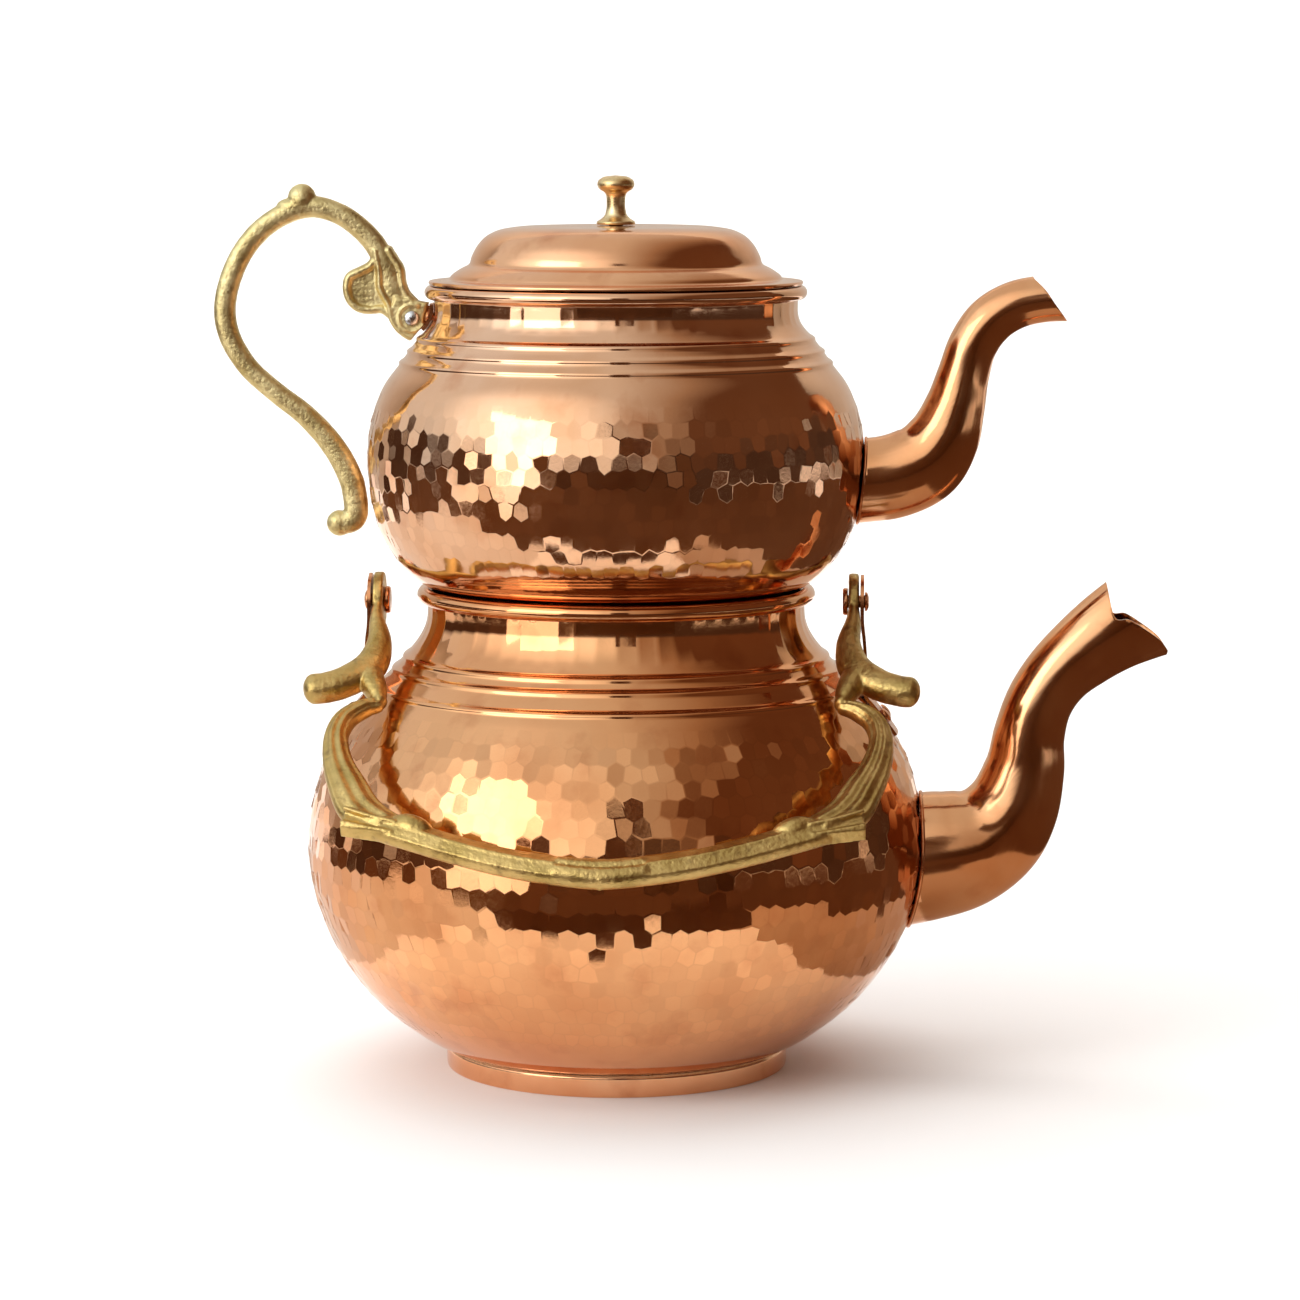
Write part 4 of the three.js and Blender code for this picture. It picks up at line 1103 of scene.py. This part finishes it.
pot("kettle", KETTLE_OUTLINE, (KETTLE_RIDGES, KETTLE_HAMMERED, KETTLE_MARK), KETTLE_FOOT, KETTLE_BEAD, 11,
    spout_way, (KETTLE_SPOUT, KETTLE_MOUTH_CUT), 0.7, KETTLE_COPPER)
lug_rivet_z = shoulder_height(math.hypot(LUG_RIVET["x"], LUG_RIVET["y"]))
for side, name in ((1, "right"), (-1, "left")):
    fitting(lug(f"lug_strap_{name}", side), "kettle", f"lug_{name}")
    fitting(bail_rivet(f"pivot_{name}", side), "kettle", f"bail_rivet_{name}")
    rivet_pair("kettle", KETTLE_OUTLINE, lug_rivet_z, side, LUG_RIVET, f"strap_rivet_{name}", f"lug_rivet_{name}")
finish_piece(bail(), "bail", "cast_brass", ["bail_handle"], BAIL_BRASS)

pot("teapot", TEAPOT_OUTLINE, (TEAPOT_RIDGES, TEAPOT_HAMMERED, TEAPOT_MARK), TEAPOT_FOOT, TEAPOT_BEAD, 23,
    strainer_holes, (TEAPOT_SPOUT, TEAPOT_MOUTH_CUT), 0.55, TEAPOT_COPPER)
finish_piece(teapot_handle(), "teapot", "cast_brass", ["teapot_handle"], HANDLE_BRASS)
fitting(handle_bracket(), "teapot", "handle_bracket")
finish_piece(handle_pin(), "teapot", "steel", ["handle_pin"], STEEL)
rivet_pair("teapot", TEAPOT_OUTLINE, BRACKET_RIVET["z"], -1, BRACKET_RIVET, "neck_rivet", "bracket_rivet")

finish_piece(lid_shell(), "lid", "plain_copper", ["lid_shell"], SPUN_COPPER)
finish_piece(lid_collar(), "lid", "plain_copper", ["lid_collar"], SPUN_COPPER)
for make in (lid_knob, knob_washer, knob_nut):
    finish_piece(make(), "lid", "turned_brass", [make.__name__], TURNED_BRASS)


# ---------- studio ----------
def area_light(name, place, aim, size, power, mirrored_too=True):
    light = bpy.data.lights.new(name, "AREA")
    light.shape = "RECTANGLE"
    light.size, light.size_y = size
    light.energy = power
    obj = bpy.data.objects.new(name, light)
    obj.location = place
    obj.rotation_euler = (Vector(aim) - Vector(place)).to_track_quat("-Z", "Y").to_euler()
    obj.visible_glossy = mirrored_too
    bpy.context.scene.collection.objects.link(obj)


def plain_paint(name, colour, sheen=0.5, glow=(0, 0, 0)):
    paint = bpy.data.materials.new(name)
    made = Nodes(paint)
    made.feed(made.tree.nodes["Principled BSDF"], {
        "Base Color": (*colour, 1), "Roughness": 0.9, "Specular IOR Level": sheen, "Emission Color": (*glow, 1),
        "Emission Strength": 1 if any(glow) else 0,
    })
    return paint


def backdrop():
    """A pale floor that curves up into a wall behind the object."""
    front, depth, bend, height, half_width = -1.4, 1.3, 0.35, 1.6, 2.2
    curve = [(front, 0.0), (depth, 0.0)]
    curve += [(depth + bend * math.sin(a), bend - bend * math.cos(a)) for a in np.radians(np.linspace(9, 90, 10))]
    curve.append((depth + bend, height))
    points = [(x / MM, y / MM, z / MM) for y, z in curve for x in (-half_width, half_width)]
    faces = [(2 * i, 2 * i + 1, 2 * i + 3, 2 * i + 2) for i in range(len(curve) - 1)]
    floor = new_object("backdrop", points, faces)
    floor.data.materials.append(plain_paint("pale_paper", (0.9, 0.88, 0.86)))


def mirrored_card(name, centre, size, upright=False, colour=(0.088, 0.042, 0.021)):
    """A card that only the polished copper shows, flat above the floor or upright across Y."""
    w, h = size[0] / 2, size[1] / 2
    offsets = [(-w, -h), (w, -h), (w, h), (-w, h)]
    points = [Vector(centre) + (Vector((x, 0, v)) if upright else Vector((x, v, 0))) for x, v in offsets]
    card = new_object(name, [p / MM for p in points], [(0, 1, 2, 3)])
    card.data.materials.append(plain_paint(name, colour, sheen=0))
    card.visible_camera = False
    card.visible_diffuse = False
    card.visible_shadow = False


def pale_surround():
    """Closes the view past the floor's edges with the floor's colour, and lights and mirrors nothing."""
    radius, bottom, top = 3, -1.5, 3
    turn = np.linspace(0, 2 * math.pi, 64, endpoint=False)
    rows = [[(radius / MM * math.cos(a), radius / MM * math.sin(a), z / MM) for a in turn] for z in (bottom, top)]
    wall = new_object("pale_surround", rows[0] + rows[1], ring_faces(2, len(turn)))
    wall.data.materials.append(plain_paint("pale_surround", (0, 0, 0), glow=(0.88, 0.86, 0.84)))
    wall.visible_diffuse = False
    wall.visible_glossy = False
    wall.visible_shadow = False


def room():
    """A pale room: daylight from the left, darker and warmer towards the right, with a glow round the window."""
    world = bpy.data.worlds.new("room")
    bpy.context.scene.world = world
    made = Nodes(world)
    place = made.add("ShaderNodeTexCoord").outputs["Generated"]
    split = made.add("ShaderNodeSeparateXYZ", {0: place})
    walls = made.ramp(
        made.remap(split.outputs["X"], -1, 1), (0.0, (0.86, 0.96, 1.05)), (0.3, (0.76, 0.8, 0.84)),
        (0.5, (0.72, 0.72, 0.7)), (0.7, (0.38, 0.27, 0.19)), (0.8, (0.13, 0.06, 0.03)), (1.0, (0.15, 0.07, 0.035)),
    )
    below = (0.07, 0.04, 0.026, 1)
    window = Vector((-0.66, -0.68, 0.32)).normalized()
    towards = made.add("ShaderNodeVectorMath", {0: place, 1: window}, operation="DOT_PRODUCT")
    made.feed(made.tree.nodes["Background"], {
        "Color": made.mixed(made.remap(split.outputs["Z"], 0.1, 0.2), below, walls),
        "Strength": made.remap(towards.outputs["Value"], 0.6, 1, 1, 2, "SMOOTHSTEP"),
    })


backdrop()
pale_surround()
room()
mirrored_card("front_floor_flag", (0.35, -0.98, 0.0015), (1.9, 1.46))
mirrored_card("right_floor_flag", (0.9, 0.35, 0.0015), (1.32, 1.2))
mirrored_card("left_floor_flag", (-1.2, 0.2, 0.0015), (1.2, 0.9))
mirrored_card("right_near_card", (0.25, 0.15, 0.001), (0.26, 0.8), colour=(0.42, 0.31, 0.23))
mirrored_card("left_near_card", (-0.37, 0.0, 0.001), (0.46, 0.9), colour=(0.64, 0.6, 0.56))
mirrored_card("near_flag", (0.02, -0.185, 0.021), (0.3, 0.04), upright=True)
mirrored_card("front_flag", (0.35, -1.7, 0.13), (1.9, 0.26), upright=True)
mirrored_card("centre_flag", (0.14, -1.62, 0.58), (0.3, 1.04), upright=True)
mirrored_card("back_card", (0, 1.25, 0.74), (4, 1.46), upright=True, colour=(0.46, 0.43, 0.38))
area_light("window", (-1.0, -1.0, 0.58), (0, 0, 0.3), (0.86, 1.12), 5.2)
area_light("window_fill", (-0.98, -1.02, 0.7), (0, 0, 0.3), (0.7, 1.1), 7, mirrored_too=False)
area_light("overhead", (0.1, 0.1, 2.1), (0, 0.1, 0), (2.6, 2.2), 24, mirrored_too=False)
area_light("back_wash", (0, 0.7, 1.7), (0, 1.6, 0.7), (2.6, 0.5), 16, mirrored_too=False)
bpy.context.scene.view_settings.view_transform = "Standard"

CAMERA_TURN = math.radians(2.3)
CAMERA_DISTANCE, CAMERA_HEIGHT = 1.54, 0.3385
AIM = Vector((0.0119, 0, 0.1477))
SENSOR, FOCAL_PIXELS, PHOTO_PIXELS = 36, 4400, 1300
camera_data = bpy.data.cameras.new("camera")
camera_data.sensor_width = SENSOR
camera_data.lens = SENSOR * FOCAL_PIXELS / PHOTO_PIXELS
camera = bpy.data.objects.new("camera", camera_data)
camera.location = (
    AIM.x + CAMERA_DISTANCE * math.sin(CAMERA_TURN), -CAMERA_DISTANCE * math.cos(CAMERA_TURN), CAMERA_HEIGHT
)
camera.rotation_euler = (AIM - camera.location).to_track_quat("-Z", "Y").to_euler()
bpy.context.scene.collection.objects.link(camera)
bpy.context.scene.camera = camera
